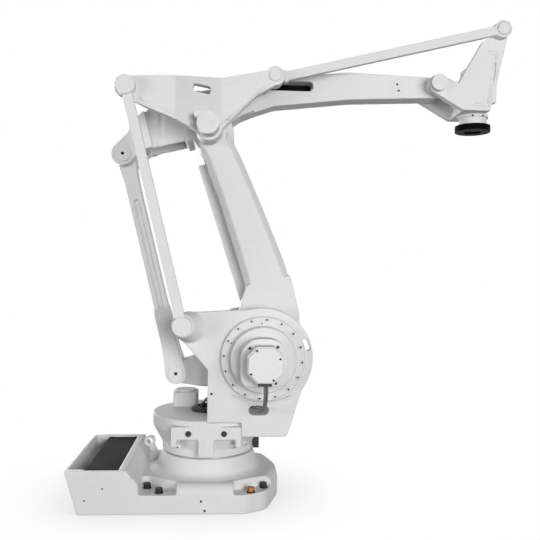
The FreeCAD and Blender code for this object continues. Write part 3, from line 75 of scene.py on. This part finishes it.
# Outlines and places are in millimetres; the pivots below are in metres, as the frame has them.
MM = 0.001
NEAR, FAR = -1, 1
BOTH = (NEAR, FAR)
LEAN = math.radians(-14)
SHOULDER = pivots["axis_2"]
ELBOW = pivots["elbow"]
WRIST = pivots["wrist_level"]
LEVER_TIP = pivots["lever_pin_turn"]
REAR_EAR = pivots["rear_rod_turn"]
FRONT_EAR = pivots["front_rod_turn"]
CLEVIS = ELBOW + LEVER_TIP - SHOULDER
ROD_END = WRIST + FRONT_EAR - ELBOW
COARSE = 1.0

# Sockets of a Mix node in its colour mode.
MIX_FIRST, MIX_SECOND, MIX_RESULT = 6, 7, 2

# How fine each noise is: its scale, in waves per metre.
CLOUDS, PATCHES, TONES, SPECKS, UNEVENNESS, PEEL = 2.2, 9.0, 30.0, 34.0, 46.0, 420.0
# How far the roughness swings about its mean.
ENAMEL_SMOOTHER, ENAMEL_ROUGHER, GRAIN_SWING = 0.07, 0.09, 0.12


def node_tree(name):
    """A new material, its node tree and its main shader."""
    material = bpy.data.materials.new(name)
    material.use_nodes = True
    tree = material.node_tree
    return material, tree, tree.nodes["Principled BSDF"]


def link(tree, start, end):
    tree.links.new(start, end)


def add_node(tree, kind, **settings):
    """A new node; each setting is the value of an input or else an attribute."""
    node = tree.nodes.new(kind)
    for key, value in settings.items():
        if key in node.inputs:
            node.inputs[key].default_value = value
        else:
            setattr(node, key, value)
    return node


def noise(tree, scale, detail=4.0, rough=0.5, stretch=(1, 1, 1)):
    """A noise in the piece's own space."""
    where = add_node(tree, "ShaderNodeTexCoord")
    spread = add_node(tree, "ShaderNodeMapping")
    spread.inputs["Scale"].default_value = stretch
    link(tree, where.outputs["Object"], spread.inputs["Vector"])
    grain = add_node(tree, "ShaderNodeTexNoise", Scale=scale, Detail=detail, Roughness=rough)
    link(tree, spread.outputs["Vector"], grain.inputs["Vector"])
    return grain.outputs["Fac"]


def ramp(tree, source, stops):
    """Greys between (place, level) stops."""
    node = tree.nodes.new("ShaderNodeValToRGB")
    while len(node.color_ramp.elements) < len(stops):
        node.color_ramp.elements.new(0.5)
    for element, (place, level) in zip(node.color_ramp.elements, stops):
        element.position = place
        element.color = (level, level, level, 1)
    link(tree, source, node.inputs["Fac"])
    return node.outputs["Color"]


def multiplied(tree, color, shade):
    """A colour, or a socket that carries one, times the grey of a second socket."""
    node = tree.nodes.new("ShaderNodeMix")
    node.data_type = "RGBA"
    node.blend_type = "MULTIPLY"
    node.inputs["Factor"].default_value = 1.0
    if isinstance(color, tuple):
        node.inputs[MIX_FIRST].default_value = (*color, 1)
    else:
        link(tree, color, node.inputs[MIX_FIRST])
    link(tree, shade, node.inputs[MIX_SECOND])
    return node.outputs[MIX_RESULT]


def vary_roughness(tree, shader, source, low, high):
    """Let the roughness follow a noise."""
    spread = tree.nodes.new("ShaderNodeMapRange")
    link(tree, source, spread.inputs["Value"])
    spread.inputs["To Min"].default_value = low
    spread.inputs["To Max"].default_value = high
    link(tree, spread.outputs["Result"], shader.inputs["Roughness"])


def bumped(tree, shader, heights, strength, distance):
    """Chain bumps: heights is a list of (socket, strength share)."""
    last = None
    for height, share in heights:
        bump = add_node(tree, "ShaderNodeBump", Strength=strength * share, Distance=distance)
        link(tree, height, bump.inputs["Height"])
        if last is not None:
            link(tree, last, bump.inputs["Normal"])
        last = bump.outputs["Normal"]
    link(tree, last, shader.inputs["Normal"])


def enamel(name, color, roughness=0.42, cast=1.0, painted_hollow_shade=0.10, shine=0.08):
    """Sprayed enamel over a casting: faint mottling, orange peel, painted shade in the hollows.

    cast is how uneven the metal below is; the argument after it sets how dark that painted shade
    is.
    """
    material, tree, shader = node_tree(name)
    cloud = ramp(tree, noise(tree, CLOUDS, 6.0, 0.6), [(0.3, 0.955), (0.7, 1.0)])
    speck = ramp(tree, noise(tree, SPECKS, 3.0, 0.6), [(0.35, 0.975), (0.6, 1.0)])
    geometry = add_node(tree, "ShaderNodeNewGeometry")
    # Painted shade: Pointiness darkens the colour in hollows and creases, where shade would fall.
    hollow = ramp(tree, geometry.outputs["Pointiness"], [(0.40, 1.0 - painted_hollow_shade * 3), (0.49, 1.0)])
    for shade in (cloud, speck, hollow):
        color = multiplied(tree, color, shade)
    link(tree, color, shader.inputs["Base Color"])
    vary_roughness(tree, shader, noise(tree, PATCHES, 5.0), roughness - ENAMEL_SMOOTHER,
                   roughness + ENAMEL_ROUGHER)
    peel, waves = noise(tree, PEEL, 2.0), noise(tree, UNEVENNESS, 4.0)
    bumped(tree, shader, [(peel, 1.0), (waves, 0.7 * cast)], strength=0.10, distance=0.002)
    shader.inputs["Specular IOR Level"].default_value = shine
    return material


def metal(name, color, roughness, metallic=1.0, grain=260.0, stretch=(1, 1, 1), shine=0.5):
    """A surface with a fine grain; grain is its fineness, stretch draws it out into lines."""
    material, tree, shader = node_tree(name)
    tone = ramp(tree, noise(tree, TONES, 5.0, 0.6), [(0.3, 0.84), (0.7, 1.0)])
    link(tree, multiplied(tree, color, tone), shader.inputs["Base Color"])
    shader.inputs["Metallic"].default_value = metallic
    shader.inputs["Specular IOR Level"].default_value = shine
    grains = noise(tree, grain, 3.0, 0.5, stretch)
    vary_roughness(tree, shader, grains, max(0.05, roughness - GRAIN_SWING),
                   min(1.0, roughness + GRAIN_SWING))
    bumped(tree, shader, [(grains, 1.0)], strength=0.12, distance=0.001)
    return material


MATERIALS = {
    "cast": enamel("cast_enamel", (0.76, 0.76, 0.755)),
    "motor": enamel("motor_enamel", (0.79, 0.79, 0.785), 0.38, cast=0.4, painted_hollow_shade=0.08),
    "charcoal": enamel("charcoal_coat", (0.012, 0.012, 0.013), 0.72, cast=0.5, painted_hollow_shade=0.0,
                       shine=0.03),
    "disc": metal("black_oxide", (0.004, 0.004, 0.004), 0.40, metallic=0.0, grain=90.0,
                  stretch=(1, 1, 14), shine=0.01),
    "bolt": metal("phosphated_steel", (0.030, 0.031, 0.029), 0.48, metallic=0.7),
    "bronze": metal("copper_passivate", (0.42, 0.17, 0.055), 0.42, metallic=0.85),
    "steel": metal("ground_steel", (0.42, 0.42, 0.42), 0.34, grain=180.0, stretch=(1, 1, 12)),
    "rubber": metal("lead_sheath", (0.12, 0.12, 0.12), 0.50, metallic=0.0, grain=320.0),
    # Near-black painted shade, put over the mouths of bores and sockets and inside the long slot.
    "painted_bore_shade": metal("shadowed_bore", (0.006, 0.006, 0.006), 0.8, metallic=0.0, shine=0.05),
}


def leaning(pivot):
    """The place of an arm that turns about a pivot and leans as it does at rest."""
    return Matrix.Translation(pivot) @ Matrix.Rotation(LEAN, 4, "Y")


WORLD = Matrix.Identity(4)
LOWER = leaning(SHOULDER)
UPPER = leaning(ELBOW)
AXES = {"z": Matrix.Identity(4), "y": Matrix.Rotation(math.radians(-90), 4, "X"),
        "-y": Matrix.Rotation(math.radians(90), 4, "X")}


def new_object(name, mesh):
    made = bpy.data.objects.new(name, mesh)
    bpy.context.scene.collection.objects.link(made)
    return made


def from_bmesh(name, bm, matrix=WORLD):
    """A new object from a finished bmesh, moved by a matrix."""
    bmesh.ops.recalc_face_normals(bm, faces=bm.faces)
    mesh = bpy.data.meshes.new(name)
    bm.to_mesh(mesh)
    bm.free()
    mesh.transform(matrix)
    return new_object(name, mesh)


def lathe(bm, profile, spot, axis="z", steps=64):
    """Turn (radius, along) points about an axis through a spot."""
    place = Matrix.Translation(Vector(spot) * MM) @ AXES[axis]
    angles = [2 * math.pi * i / steps for i in range(steps)]
    rings = []
    for radius, along in profile:
        if radius == 0:
            rings.append([bm.verts.new(place @ Vector((0, 0, along * MM)))])
            continue
        rings.append([bm.verts.new(place @ Vector((
            radius * MM * math.cos(angle), radius * MM * math.sin(angle), along * MM)))
            for angle in angles])
    for low, high in zip(rings, rings[1:]):
        for i in range(steps):
            j = (i + 1) % steps
            corners = [low[i % len(low)], low[j % len(low)],
                       high[j % len(high)], high[i % len(high)]]
            unique = list(dict.fromkeys(corners))
            if len(unique) > 2:
                bm.faces.new(unique)


def prism(bm, outline, low, high):
    """Thicken an outline of (across, up) points along y."""
    near = [bm.verts.new(Vector((across, low, up)) * MM) for across, up in outline]
    far = [bm.verts.new(Vector((across, high, up)) * MM) for across, up in outline]
    bm.faces.new(near)
    bm.faces.new(far[::-1])
    for i in range(len(outline)):
        j = (i + 1) % len(outline)
        bm.faces.new([near[i], far[i], far[j], near[j]])


def on_circle(across, up, radius, angles):
    """Points on a circle about (across, up), at angles in degrees from straight ahead."""
    return [(across + radius * math.cos(math.radians(angle)),
             up + radius * math.sin(math.radians(angle))) for angle in angles]


def shade_smooth(piece):
    for face in piece.data.polygons:
        face.use_smooth = True


def weigh_normals(piece, weight):
    """Let large faces decide the shading, so that flats look flat."""
    piece.modifiers.new("flat", "WEIGHTED_NORMAL").weight = weight


def cover(piece, finish):
    piece.data.materials.clear()
    piece.data.materials.append(MATERIALS[finish])


def dress(piece, finish, body, *replaced):
    """Give a piece its finish and the body that it rides on, and hide the nodes that it stands for.
    """
    cover(piece, finish)
    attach(piece, body)
    if replaced:
        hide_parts(*replaced)


def body_of(node):
    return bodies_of(nodes[node])[0]


WELD = 1e-5  # metres
CAST_FACES_KEPT = 0.25
CAST_WEIGHT, MACHINED_WEIGHT = 80, 90
FLAT_LIMIT = math.radians(0.8)
EDGE_LIMIT = math.radians(28)


def clean_copy(node):
    """The node's mesh with its seams welded."""
    bm = bmesh.new()
    bm.from_mesh(nodes[node].data)
    bmesh.ops.remove_doubles(bm, verts=bm.verts, dist=WELD)
    mesh = bpy.data.meshes.new(node + "_dressed")
    bm.to_mesh(mesh)
    bm.free()
    return mesh


def casting(node, body, voxel=4.0, passes=6, extras=(), cuts=()):
    """A cast piece: its solid melted into one skin with soft edges and fillets.

    voxel is the skin's fineness and passes is how often it is smoothed. Before that, extras
    are joined to the solid and cuts are taken from it.
    """
    piece = new_object(node + "_cast", clean_copy(node))
    bm = bmesh.new()
    bm.from_mesh(piece.data)
    for extra in extras:
        bm.from_mesh(extra.data)
        bpy.data.objects.remove(extra)
    bm.to_mesh(piece.data)
    bm.free()
    for cut in cuts:
        carve = piece.modifiers.new("carve", "BOOLEAN")
        carve.operation = "DIFFERENCE"
        carve.solver = "EXACT"
        carve.use_self = True
        carve.object = cut
    skin = piece.modifiers.new("skin", "REMESH")
    skin.mode = "VOXEL"
    skin.voxel_size = voxel * MM * COARSE
    smooth = piece.modifiers.new("smooth", "SMOOTH")
    smooth.factor = 0.5
    smooth.iterations = passes
    piece.modifiers.new("thin", "DECIMATE").ratio = CAST_FACES_KEPT
    bpy.context.view_layer.update()
    graph = bpy.context.evaluated_depsgraph_get()
    mesh = bpy.data.meshes.new_from_object(piece.evaluated_get(graph))
    piece.modifiers.clear()
    piece.data = mesh
    for cut in cuts:
        bpy.data.objects.remove(cut)
    shade_smooth(piece)
    weigh_normals(piece, CAST_WEIGHT)
    dress(piece, "cast", body, node)


def machined(node, finish, width):
    """A machined piece: the node's own form with edges broken by a width."""
    mesh = clean_copy(node)
    bm = bmesh.new()
    bm.from_mesh(mesh)
    bmesh.ops.dissolve_limit(bm, angle_limit=FLAT_LIMIT, verts=bm.verts, edges=bm.edges)
    bm.to_mesh(mesh)
    bm.free()
    piece = new_object(node + "_dressed", mesh)
    bevel = piece.modifiers.new("edge", "BEVEL")
    bevel.width = width * MM
    bevel.segments = 3
    bevel.limit_method = "ANGLE"
    bevel.angle_limit = EDGE_LIMIT
    weigh_normals(piece, MACHINED_WEIGHT)
    shade_smooth(piece)
    dress(piece, finish, body_of(node), node)


# The foot's profile runs from its tip to the wall and back through its hollow inside.
EAR_WALL, EAR_HEIGHT = -330, 94
EAR_PROFILE = [(57, EAR_HEIGHT), (60, EAR_HEIGHT), (68, 60), (80, 18), (86, -2), (50, -2),
               (50, EAR_HEIGHT), (57, EAR_HEIGHT)]
EAR_LEAN = Vector((30, 0, -12))
# From the lower arm's pivot, along the arm.
HEAD_REAR = [(-160, 1060), (-54, 1060), (-64, 1150), (-70, 1230), (-70, 1290), (-62, 1322),
             (-44, 1346), (-20, 1360), (-20, 1420), (-160, 1420)]
HEAD_HALF_WIDTH = 220
HUB_RADIUS, HUB_BEYOND, HUB_HALF_WIDTH = 98, 170, 170
HUB_REAR, HUB_REAR_BACK = range(186, 300, 6), range(294, 179, -12)  # degrees, out and back
SCOOP_X, SCOOP_Y, SCOOP_RADIUS, SCOOP_LOW, SCOOP_HIGH = -286, 141, 30, 1900, 2260


def ear_cone():
    """The drafted foot of the boss that carries the rear levelling rod, leaning to the wall."""
    bm = bmesh.new()
    lathe(bm, EAR_PROFILE, (REAR_EAR.x / MM, EAR_WALL, REAR_EAR.z / MM), "-y")
    for vert in bm.verts:
        depth = 1 - (EAR_WALL - vert.co.y / MM) / EAR_HEIGHT
        vert.co += EAR_LEAN * depth * MM
    return from_bmesh("ear_cone", bm)


def elbow_trim():
    """What comes off the lower arm's head so that its rear edge runs straight up to the pin."""
    bm = bmesh.new()
    prism(bm, HEAD_REAR, -HEAD_HALF_WIDTH, HEAD_HALF_WIDTH)
    return from_bmesh("elbow_trim", bm, LOWER)


def hub_trim():
    """What comes off the rear of the upper arm's hub, under the tail."""
    bm = bmesh.new()
    prism(bm, on_circle(0, 0, HUB_RADIUS, HUB_REAR) + on_circle(0, 0, HUB_BEYOND, HUB_REAR_BACK),
          -HUB_HALF_WIDTH, HUB_HALF_WIDTH)
    return from_bmesh("hub_trim", bm, UPPER)


def tail_scoop():
    """The upright hollow between the tail's plate and its clevis lug, on both faces."""
    bm = bmesh.new()
    for side in BOTH:
        lathe(bm, [(0, SCOOP_LOW), (SCOOP_RADIUS, SCOOP_LOW), (SCOOP_RADIUS, SCOOP_HIGH),
                   (0, SCOOP_HIGH)], (SCOOP_X, side * SCOOP_Y, 0), steps=48)
    return from_bmesh("tail_scoop", bm)


# Node, body, voxel, passes.
CASTINGS = (
    ("base_casting", "base", 4.5, 6), ("lever_arm", "lever", 4.0, 5),
    ("parallel_rod", "parallel_rod", 4.0, 5), ("link_plate", "link_plate", 3.2, 3),
    ("tilt_house", "tilt_house", 3.2, 3), ("rear_levelling_rod", "rear_rod", 3.0, 3),
    ("front_levelling_rod", "front_rod", 3.0, 3),
)
for node, body, voxel, passes in CASTINGS:
    casting(node, body, voxel, passes)
casting("frame_casting", "frame", extras=[ear_cone()])
casting("lower_arm_casting", "lower_arm", voxel=4.5, cuts=[elbow_trim()])
casting("upper_arm_casting", "upper_arm", voxel=4.5, cuts=[tail_scoop(), hub_trim()])

# How wide the broken edges of the machined pieces are.
BROKEN_EDGES = {
    5.0: ("axis2_motor_adaptor", "axis3_motor_adaptor", "axis2_motor", "axis3_motor",
          "axis1_motor"),
    3.5: ("axis2_gearbox", "axis3_gearbox", "axis2_motor_cover", "axis3_motor_cover", "elbow_cap",
          "wrist_caps", "cable_entry_ring"),
    2.0: ("rear_rod_caps", "lever_pin_covers", "clevis_covers", "front_rod_collar",
          "link_front_pin", "turning_disc", "axis4_gearbox", "axis1_stop_block", "axis4_motor"),
    1.2: ("skirt_plugs", "foundation_washers", "foundation_bolts", "foundation_bolt_bronze",
          "axis2_gearbox_bolts", "axis3_gearbox_bolts", "side_plug"),
}
BEVEL = {name: width for width, names in BROKEN_EDGES.items() for name in names}

FINISHES = {
    "cast": ("axis2_motor_adaptor", "axis3_motor_adaptor", "elbow_cap", "side_plug",
             "rear_rod_caps", "front_rod_collar", "wrist_caps", "link_front_pin",
             "lever_pin_covers", "clevis_covers", "lifting_eye", "axis4_gearbox", "axis2_gearbox",
             "axis3_gearbox", "axis1_motor", "cable_tray", "axis4_motor", "axis2_gearbox_bolts",
             "axis3_gearbox_bolts"),
    "motor": ("axis2_motor", "axis3_motor", "axis2_motor_cover", "axis3_motor_cover"),
    "bolt": ("foundation_washers", "foundation_bolts", "skirt_plugs", "cover_screws",
             "axis2_motor_plug", "axis3_motor_plug", "pad_screws", "axis1_stop_block",
             "cable_entry_ring"),
    "rubber": ("motor_leads",),
    "bronze": ("foundation_bolt_bronze",),
    "charcoal": ("rear_cover_plate",),
    "disc": ("turning_disc",),
    "steel": ("turning_ring", "rear_rod_lower_pin", "elbow_shaft", "shoulder_pin", "lever_pin",
              "link_rear_pin", "clevis_pin", "wrist_shaft", "front_rod_pin"),
}
for finish, names in FINISHES.items():
    for name in names:
        if name in BEVEL:
            machined(name, finish, BEVEL[name])
        else:
            cover(nodes[name], finish)


RAY_START = 3.0  # metres, outside the object
STUD_STEPS = 32
CREASE = math.radians(35)
SEAT = -2  # how far the small pieces reach below the surface that carries them
BEAD_STEP = 9.0


def faces_of(node):
    """The node's faces, to cast rays at."""
    mesh = nodes[node].data
    return BVHTree.FromPolygons([v.co for v in mesh.vertices], [p.vertices for p in mesh.polygons])


def land(faces, across, up, side):
    """Where a line along y through (across, up) first meets the node, and the normal there."""
    start = Vector((across * MM, side * RAY_START, up * MM))
    spot, normal, _, _ = faces.ray_cast(start, Vector((0, -side, 0)))
    return spot, normal


def stud(bm, spot, normal, profile):
    """Turn (radius, height) points about the surface's normal."""
    start = len(bm.verts)
    lathe(bm, profile, (0, 0, 0), steps=STUD_STEPS)
    bm.verts.ensure_lookup_table()
    turn = Vector((0, 0, 1)).rotation_difference(normal).to_matrix().to_4x4()
    bmesh.ops.transform(bm, matrix=Matrix.Translation(spot) @ turn, verts=bm.verts[start:])


def screw(radius, height):
    """A cap screw with its socket."""
    return [(0, height * 0.4), (radius * 0.5, height * 0.4), (radius * 0.5, height),
            (radius * 0.85, height), (radius, height * 0.8), (radius, SEAT)]


def button(radius, height):
    """A low round boss with a chamfer."""
    return [(0, height), (radius * 0.7, height), (radius, height * 0.35), (radius, SEAT)]


def bore(radius, foot, height, low):
    """A dark disc of painted shade over the mouth of a bore, a little wider at its foot."""
    return [(0, height), (radius, height), (foot, low)]


def studs(name, node, spots, profile, finish, sides=(NEAR,)):
    """One piece of small turned details seated on a node, seen from the near or the far side."""
    faces = faces_of(node)
    bm = bmesh.new()
    for side in sides:
        for across, up in spots:
            stud(bm, *land(faces, across, up, side), profile)
    piece = from_bmesh(name, bm)
    shade_smooth(piece)
    piece.modifiers.new("crease", "EDGE_SPLIT").split_angle = CREASE
    dress(piece, finish, body_of(node))


def bead(name, node, corners, width, height):
    """A raised lip along a run of (across, up) points, following the node's near surface."""
    faces = faces_of(node)
    path = []
    for (a, u), (b, v) in zip(corners, corners[1:]):
        count = max(1, round(math.hypot(b - a, v - u) / BEAD_STEP))
        path += [(a + (b - a) * i / count, u + (v - u) * i / count) for i in range(count)]
    path.append(corners[-1])
    landed = [land(faces, across, up, NEAR) for across, up in path]
    section = ((1, SEAT), (0.9, height * 0.6), (0.6, height), (-0.6, height),
               (-0.9, height * 0.6), (-1, SEAT))
    bm = bmesh.new()
    rings = []
    for i, (spot, normal) in enumerate(landed):
        along = (landed[min(i + 1, len(path) - 1)][0] - landed[max(i - 1, 0)][0]).normalized()
        across = along.cross(normal).normalized() * width / 2
        rings.append([bm.verts.new(spot + (across * share + normal * rise) * MM)
                      for share, rise in section])
    for low, high in zip(rings, rings[1:]):
        for i in range(len(section)):
            j = (i + 1) % len(section)
            bm.faces.new([low[i], low[j], high[j], high[i]])
    bm.faces.new(rings[0][::-1])
    bm.faces.new(rings[-1])
    piece = from_bmesh(name, bm)
    shade_smooth(piece)
    dress(piece, "cast", body_of(node))


# Places as (across, up) on the piece that carries them, with the arm at rest.
BOLT_CIRCLE, BOLT_COUNT, BOLT_FIRST = 211, 16, 18
ADAPTOR_SCREWS = [(223, 889), (367, 896), (358, 711)]
COVER_SCREWS = [(256, 888), (228, 772), (372, 848), (340, 742)]
GEARBOX_PLUGS = [(291, 1006), (129, 899)]
LIP_UP, LIP_RADIUS, LIP_HALF, LIP_STEPS = 905, 330, 29, 12
WALL_SCREWS = [(26, 622)]
TURRET_BOSSES = [(-154, 314), (149, 315), (211, 318), (-225, 304)]
EAR_PLUG = [(REAR_EAR.x / MM + 78, REAR_EAR.z / MM + 12)]
BASE_SCREWS = [(-20, 69), (0, 19)]
BASE_HOLES = [(-535, 137), (-626, 75)]
COVER_HOLE = bore(7.5, 8.5, 0.6, SEAT)
LOW_CAP_FACE = -205
LOW_CAP = [(0, 15), (24, 15), (34, 12), (38.5, 6), (39, 0)]
LINK_EDGE_FRONT = [(92, 2112), (238, 2263), (292, 2299)]
LINK_EDGE_REAR = [(-366, 2179), (-98, 2062)]
HOUSE_RIB = [(1597, 2577), (1646, 2563), (1640, 2450), (1601, 2282), (1500, 2262)]
NECK_SCREWS = [(1530, 2222), (1590, 2222)]
# From the elbow, along the upper arm.
# The outline of the near-black sheet of painted shade inside the long slot.
SLOT_SHADE_OUTLINE = [(400, 252), (657, 197), (640, 128), (391, 181)]
SLOT_SHADE_NEAR, SLOT_SHADE_FAR = 22, 26


def drive_details():
    """Sockets and plug dots in painted shade, plugs and screws on both drives, and the near one's
    cast lip.
    """
    bolts = on_circle(SHOULDER.x / MM, SHOULDER.z / MM, BOLT_CIRCLE,
                      [BOLT_FIRST + 360 * i / BOLT_COUNT for i in range(BOLT_COUNT)])
    for axis, side in (("axis2", NEAR), ("axis3", FAR)):
        gearbox, adaptor = axis + "_gearbox", axis + "_motor_adaptor"
        studs(gearbox + "_sockets", gearbox + "_bolts", bolts, bore(5, 5.4, 0.5, -1), "painted_bore_shade",
              (side,))
        studs(gearbox + "_plugs", gearbox, GEARBOX_PLUGS, button(14, 5), "cast", (side,))
        studs(gearbox + "_plug_dots", gearbox, GEARBOX_PLUGS, bore(3.4, 3.6, 5.6, 3), "painted_bore_shade",
              (side,))
        studs(adaptor + "_screws", adaptor, ADAPTOR_SCREWS, screw(7.5, 6), "bolt", (side,))
        studs(axis + "_cover_screws", axis + "_motor_cover", COVER_SCREWS, screw(5.5, 4), "bolt",
              (side,))
    below = [LIP_HALF * (i / LIP_STEPS - 1) - 90 for i in range(2 * LIP_STEPS + 1)]
    lip = on_circle(SHOULDER.x / MM, LIP_UP, LIP_RADIUS, below)
    bead("drive_lip", "frame_casting", lip, width=12, height=13)


def frame_details():
    """Screws of the walls, turret bosses with painted-shade holes and the plug on the rear rod's
    ear.
    """
    studs("wall_screws", "frame_casting", WALL_SCREWS, screw(6.5, 4), "bolt", BOTH)
    studs("turret_bosses", "frame_casting", TURRET_BOSSES, button(15, 11), "cast", BOTH)
    studs("turret_boss_holes", "frame_casting", TURRET_BOSSES, bore(5, 5.4, 11.6, 9), "painted_bore_shade", BOTH)
    studs("ear_plug", "frame_casting", EAR_PLUG, button(6, 2), "cast")


def base_details():
    """Small screws in the base's sides and its holes in painted shade."""
    studs("base_side_screws", "base_casting", BASE_SCREWS, screw(6, 3), "bolt", BOTH)
    studs("base_side_holes", "base_casting", BASE_HOLES, bore(4.5, 5, 0.5, -1), "painted_bore_shade")


def linkage_details():
    """Pin-cover centre holes in painted shade, the short rod cap and the link plate's turned lower
    edges.
    """
    for node, pivot in (("lever_pin_covers", LEVER_TIP), ("clevis_covers", CLEVIS)):
        bm = bmesh.new()
        for face, axis in zip(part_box(node), ("-y", "y")):
            lathe(bm, COVER_HOLE, (pivot.x / MM, face[1] / MM, pivot.z / MM), axis, steps=24)
        dress(from_bmesh(node + "_holes", bm), "painted_bore_shade", body_of(node))
    bm = bmesh.new()
    lathe(bm, LOW_CAP, (ROD_END.x / MM, LOW_CAP_FACE, ROD_END.z / MM), "-y")
    cap = from_bmesh("front_rod_cap_low", bm)
    shade_smooth(cap)
    dress(cap, "cast", body_of("front_rod_cap"), "front_rod_cap")
    bead("link_edge_front", "link_plate", LINK_EDGE_FRONT, width=15, height=7)
    bead("link_edge_rear", "link_plate", LINK_EDGE_REAR, width=14, height=3)


def wrist_details():
    """The raised line along the tilt house's groove and the screws of its neck."""
    bead("house_rib", "tilt_house", HOUSE_RIB, width=9, height=5)
    studs("neck_screws", "axis4_gearbox", NECK_SCREWS, screw(5, 4), "bolt", BOTH)


def slot_shade_sheet():
    """A near-black sheet inside the upper arm's long slot: painted shade for the slot's dark
    inside.
    """
    bm = bmesh.new()
    prism(bm, SLOT_SHADE_OUTLINE, SLOT_SHADE_NEAR, SLOT_SHADE_FAR)
    dress(from_bmesh("slot_shade_sheet", bm, UPPER), "painted_bore_shade", "upper_arm")


drive_details()
frame_details()
base_details()
linkage_details()
wrist_details()
slot_shade_sheet()


# Metres, degrees and watts from here on.
FLOOR_RADIUS = 30
FLOOR_GREY = (0.14, 0.14, 0.14, 1)
WHITE = (1, 1, 1, 1)
CONTACT_REACH, CONTACT_SAMPLES = 0.55, 12
CONTACT_SHADE = [(0.0, 0.45), (0.45, 0.80), (1.0, 1.0)]
DAYLIGHT = 0.13
# Name, place, width, power.
LAMPS = (("key", (3.0, -7.3, 1.4), 4.2, 545), ("rear_fill", (-4.0, 7.0, 1.6), 4.4, 520),
         ("left_fill", (-6.2, -5.0, 1.3), 3.8, 240))
LAMPS_AIM = Vector((0.5, 0, 1.2))
EYE = (0.1195, -3.8966, 1.2736)
YAW, PITCH, ROLL = -3.4, 0.3, 0.8
FOCAL_LENGTH, PICTURE_WIDTH = 660.9, 540  # pixels
SENSOR_WIDTH = 36  # millimetres
CLIP_END = 60


def seen_rays(tree):
    """1 for what the camera sees directly, in a reflection or through glass."""
    path = add_node(tree, "ShaderNodeLightPath")
    total = path.outputs["Is Camera Ray"]
    for ray in ("Is Glossy Ray", "Is Transmission Ray"):
        larger = add_node(tree, "ShaderNodeMath", operation="MAXIMUM")
        link(tree, total, larger.inputs[0])
        link(tree, path.outputs[ray], larger.inputs[1])
        total = larger.outputs["Value"]
    return total


def show_apart(tree, lit, seen, output):
    """Light the scene with one shader and show another one to the camera."""
    both = add_node(tree, "ShaderNodeMixShader")
    link(tree, seen_rays(tree), both.inputs["Fac"])
    link(tree, lit, both.inputs[1])
    link(tree, seen, both.inputs[2])
    link(tree, both.outputs["Shader"], tree.nodes[output].inputs["Surface"])


def pale_floor():
    """A floor that is seen as white with a soft contact shade and reflects little light."""
    bpy.ops.mesh.primitive_circle_add(vertices=96, radius=FLOOR_RADIUS, fill_type="NGON",
                                      location=(0, 0, 0))
    floor = bpy.context.object
    floor.name = "floor"
    material, tree, shader = node_tree("pale_floor")
    shader.inputs["Base Color"].default_value = FLOOR_GREY
    shader.inputs["Roughness"].default_value = 0.9
    shader.inputs["Specular IOR Level"].default_value = 0.0
    contact = add_node(tree, "ShaderNodeAmbientOcclusion", Distance=CONTACT_REACH)
    contact.samples = CONTACT_SAMPLES
    glow = add_node(tree, "ShaderNodeEmission", Strength=1.0)
    link(tree, ramp(tree, contact.outputs["AO"], CONTACT_SHADE), glow.inputs["Color"])
    show_apart(tree, shader.outputs["BSDF"], glow.outputs["Emission"], "Material Output")
    floor.data.materials.append(material)


def surround():
    """A world that is seen as white and gives a low even light."""
    world = bpy.data.worlds.new("studio")
    bpy.context.scene.world = world
    world.use_nodes = True
    tree = world.node_tree
    light = tree.nodes["Background"]
    light.inputs["Color"].default_value = WHITE
    light.inputs["Strength"].default_value = DAYLIGHT
    white = add_node(tree, "ShaderNodeBackground", Strength=1.0)
    white.inputs["Color"].default_value = WHITE
    show_apart(tree, light.outputs["Background"], white.outputs["Background"], "World Output")


def lamps():
    """A broad lamp near the camera and two soft fills."""
    for name, spot, width, power in LAMPS:
        lamp = bpy.data.lights.new(name, "AREA")
        lamp.size = width
        lamp.energy = power
        stand = new_object(name, lamp)
        stand.location = spot
        stand.rotation_euler = (LAMPS_AIM - Vector(spot)).to_track_quat("-Z", "Y").to_euler()


def camera():
    """The photograph's view, low and close to the arm."""
    yaw, pitch, roll = math.radians(YAW), math.radians(PITCH), math.radians(ROLL)
    ahead = Vector((-math.sin(yaw) * math.cos(pitch), math.cos(yaw) * math.cos(pitch),
                    math.sin(pitch)))
    level = Vector((math.cos(yaw), math.sin(yaw), 0))
    upright = level.cross(ahead)
    right = level * math.cos(roll) + upright * math.sin(roll)
    up = upright * math.cos(roll) - level * math.sin(roll)
    lens = bpy.data.cameras.new("camera")
    lens.sensor_width = SENSOR_WIDTH
    lens.lens = FOCAL_LENGTH / PICTURE_WIDTH * SENSOR_WIDTH
    lens.clip_end = CLIP_END
    viewer = new_object("camera", lens)
    turn = Matrix((right, up, -ahead)).transposed().to_4x4()
    viewer.matrix_world = Matrix.Translation(EYE) @ turn
    bpy.context.scene.camera = viewer
    bpy.context.scene.view_settings.view_transform = "Standard"


pale_floor()
surround()
lamps()
camera()
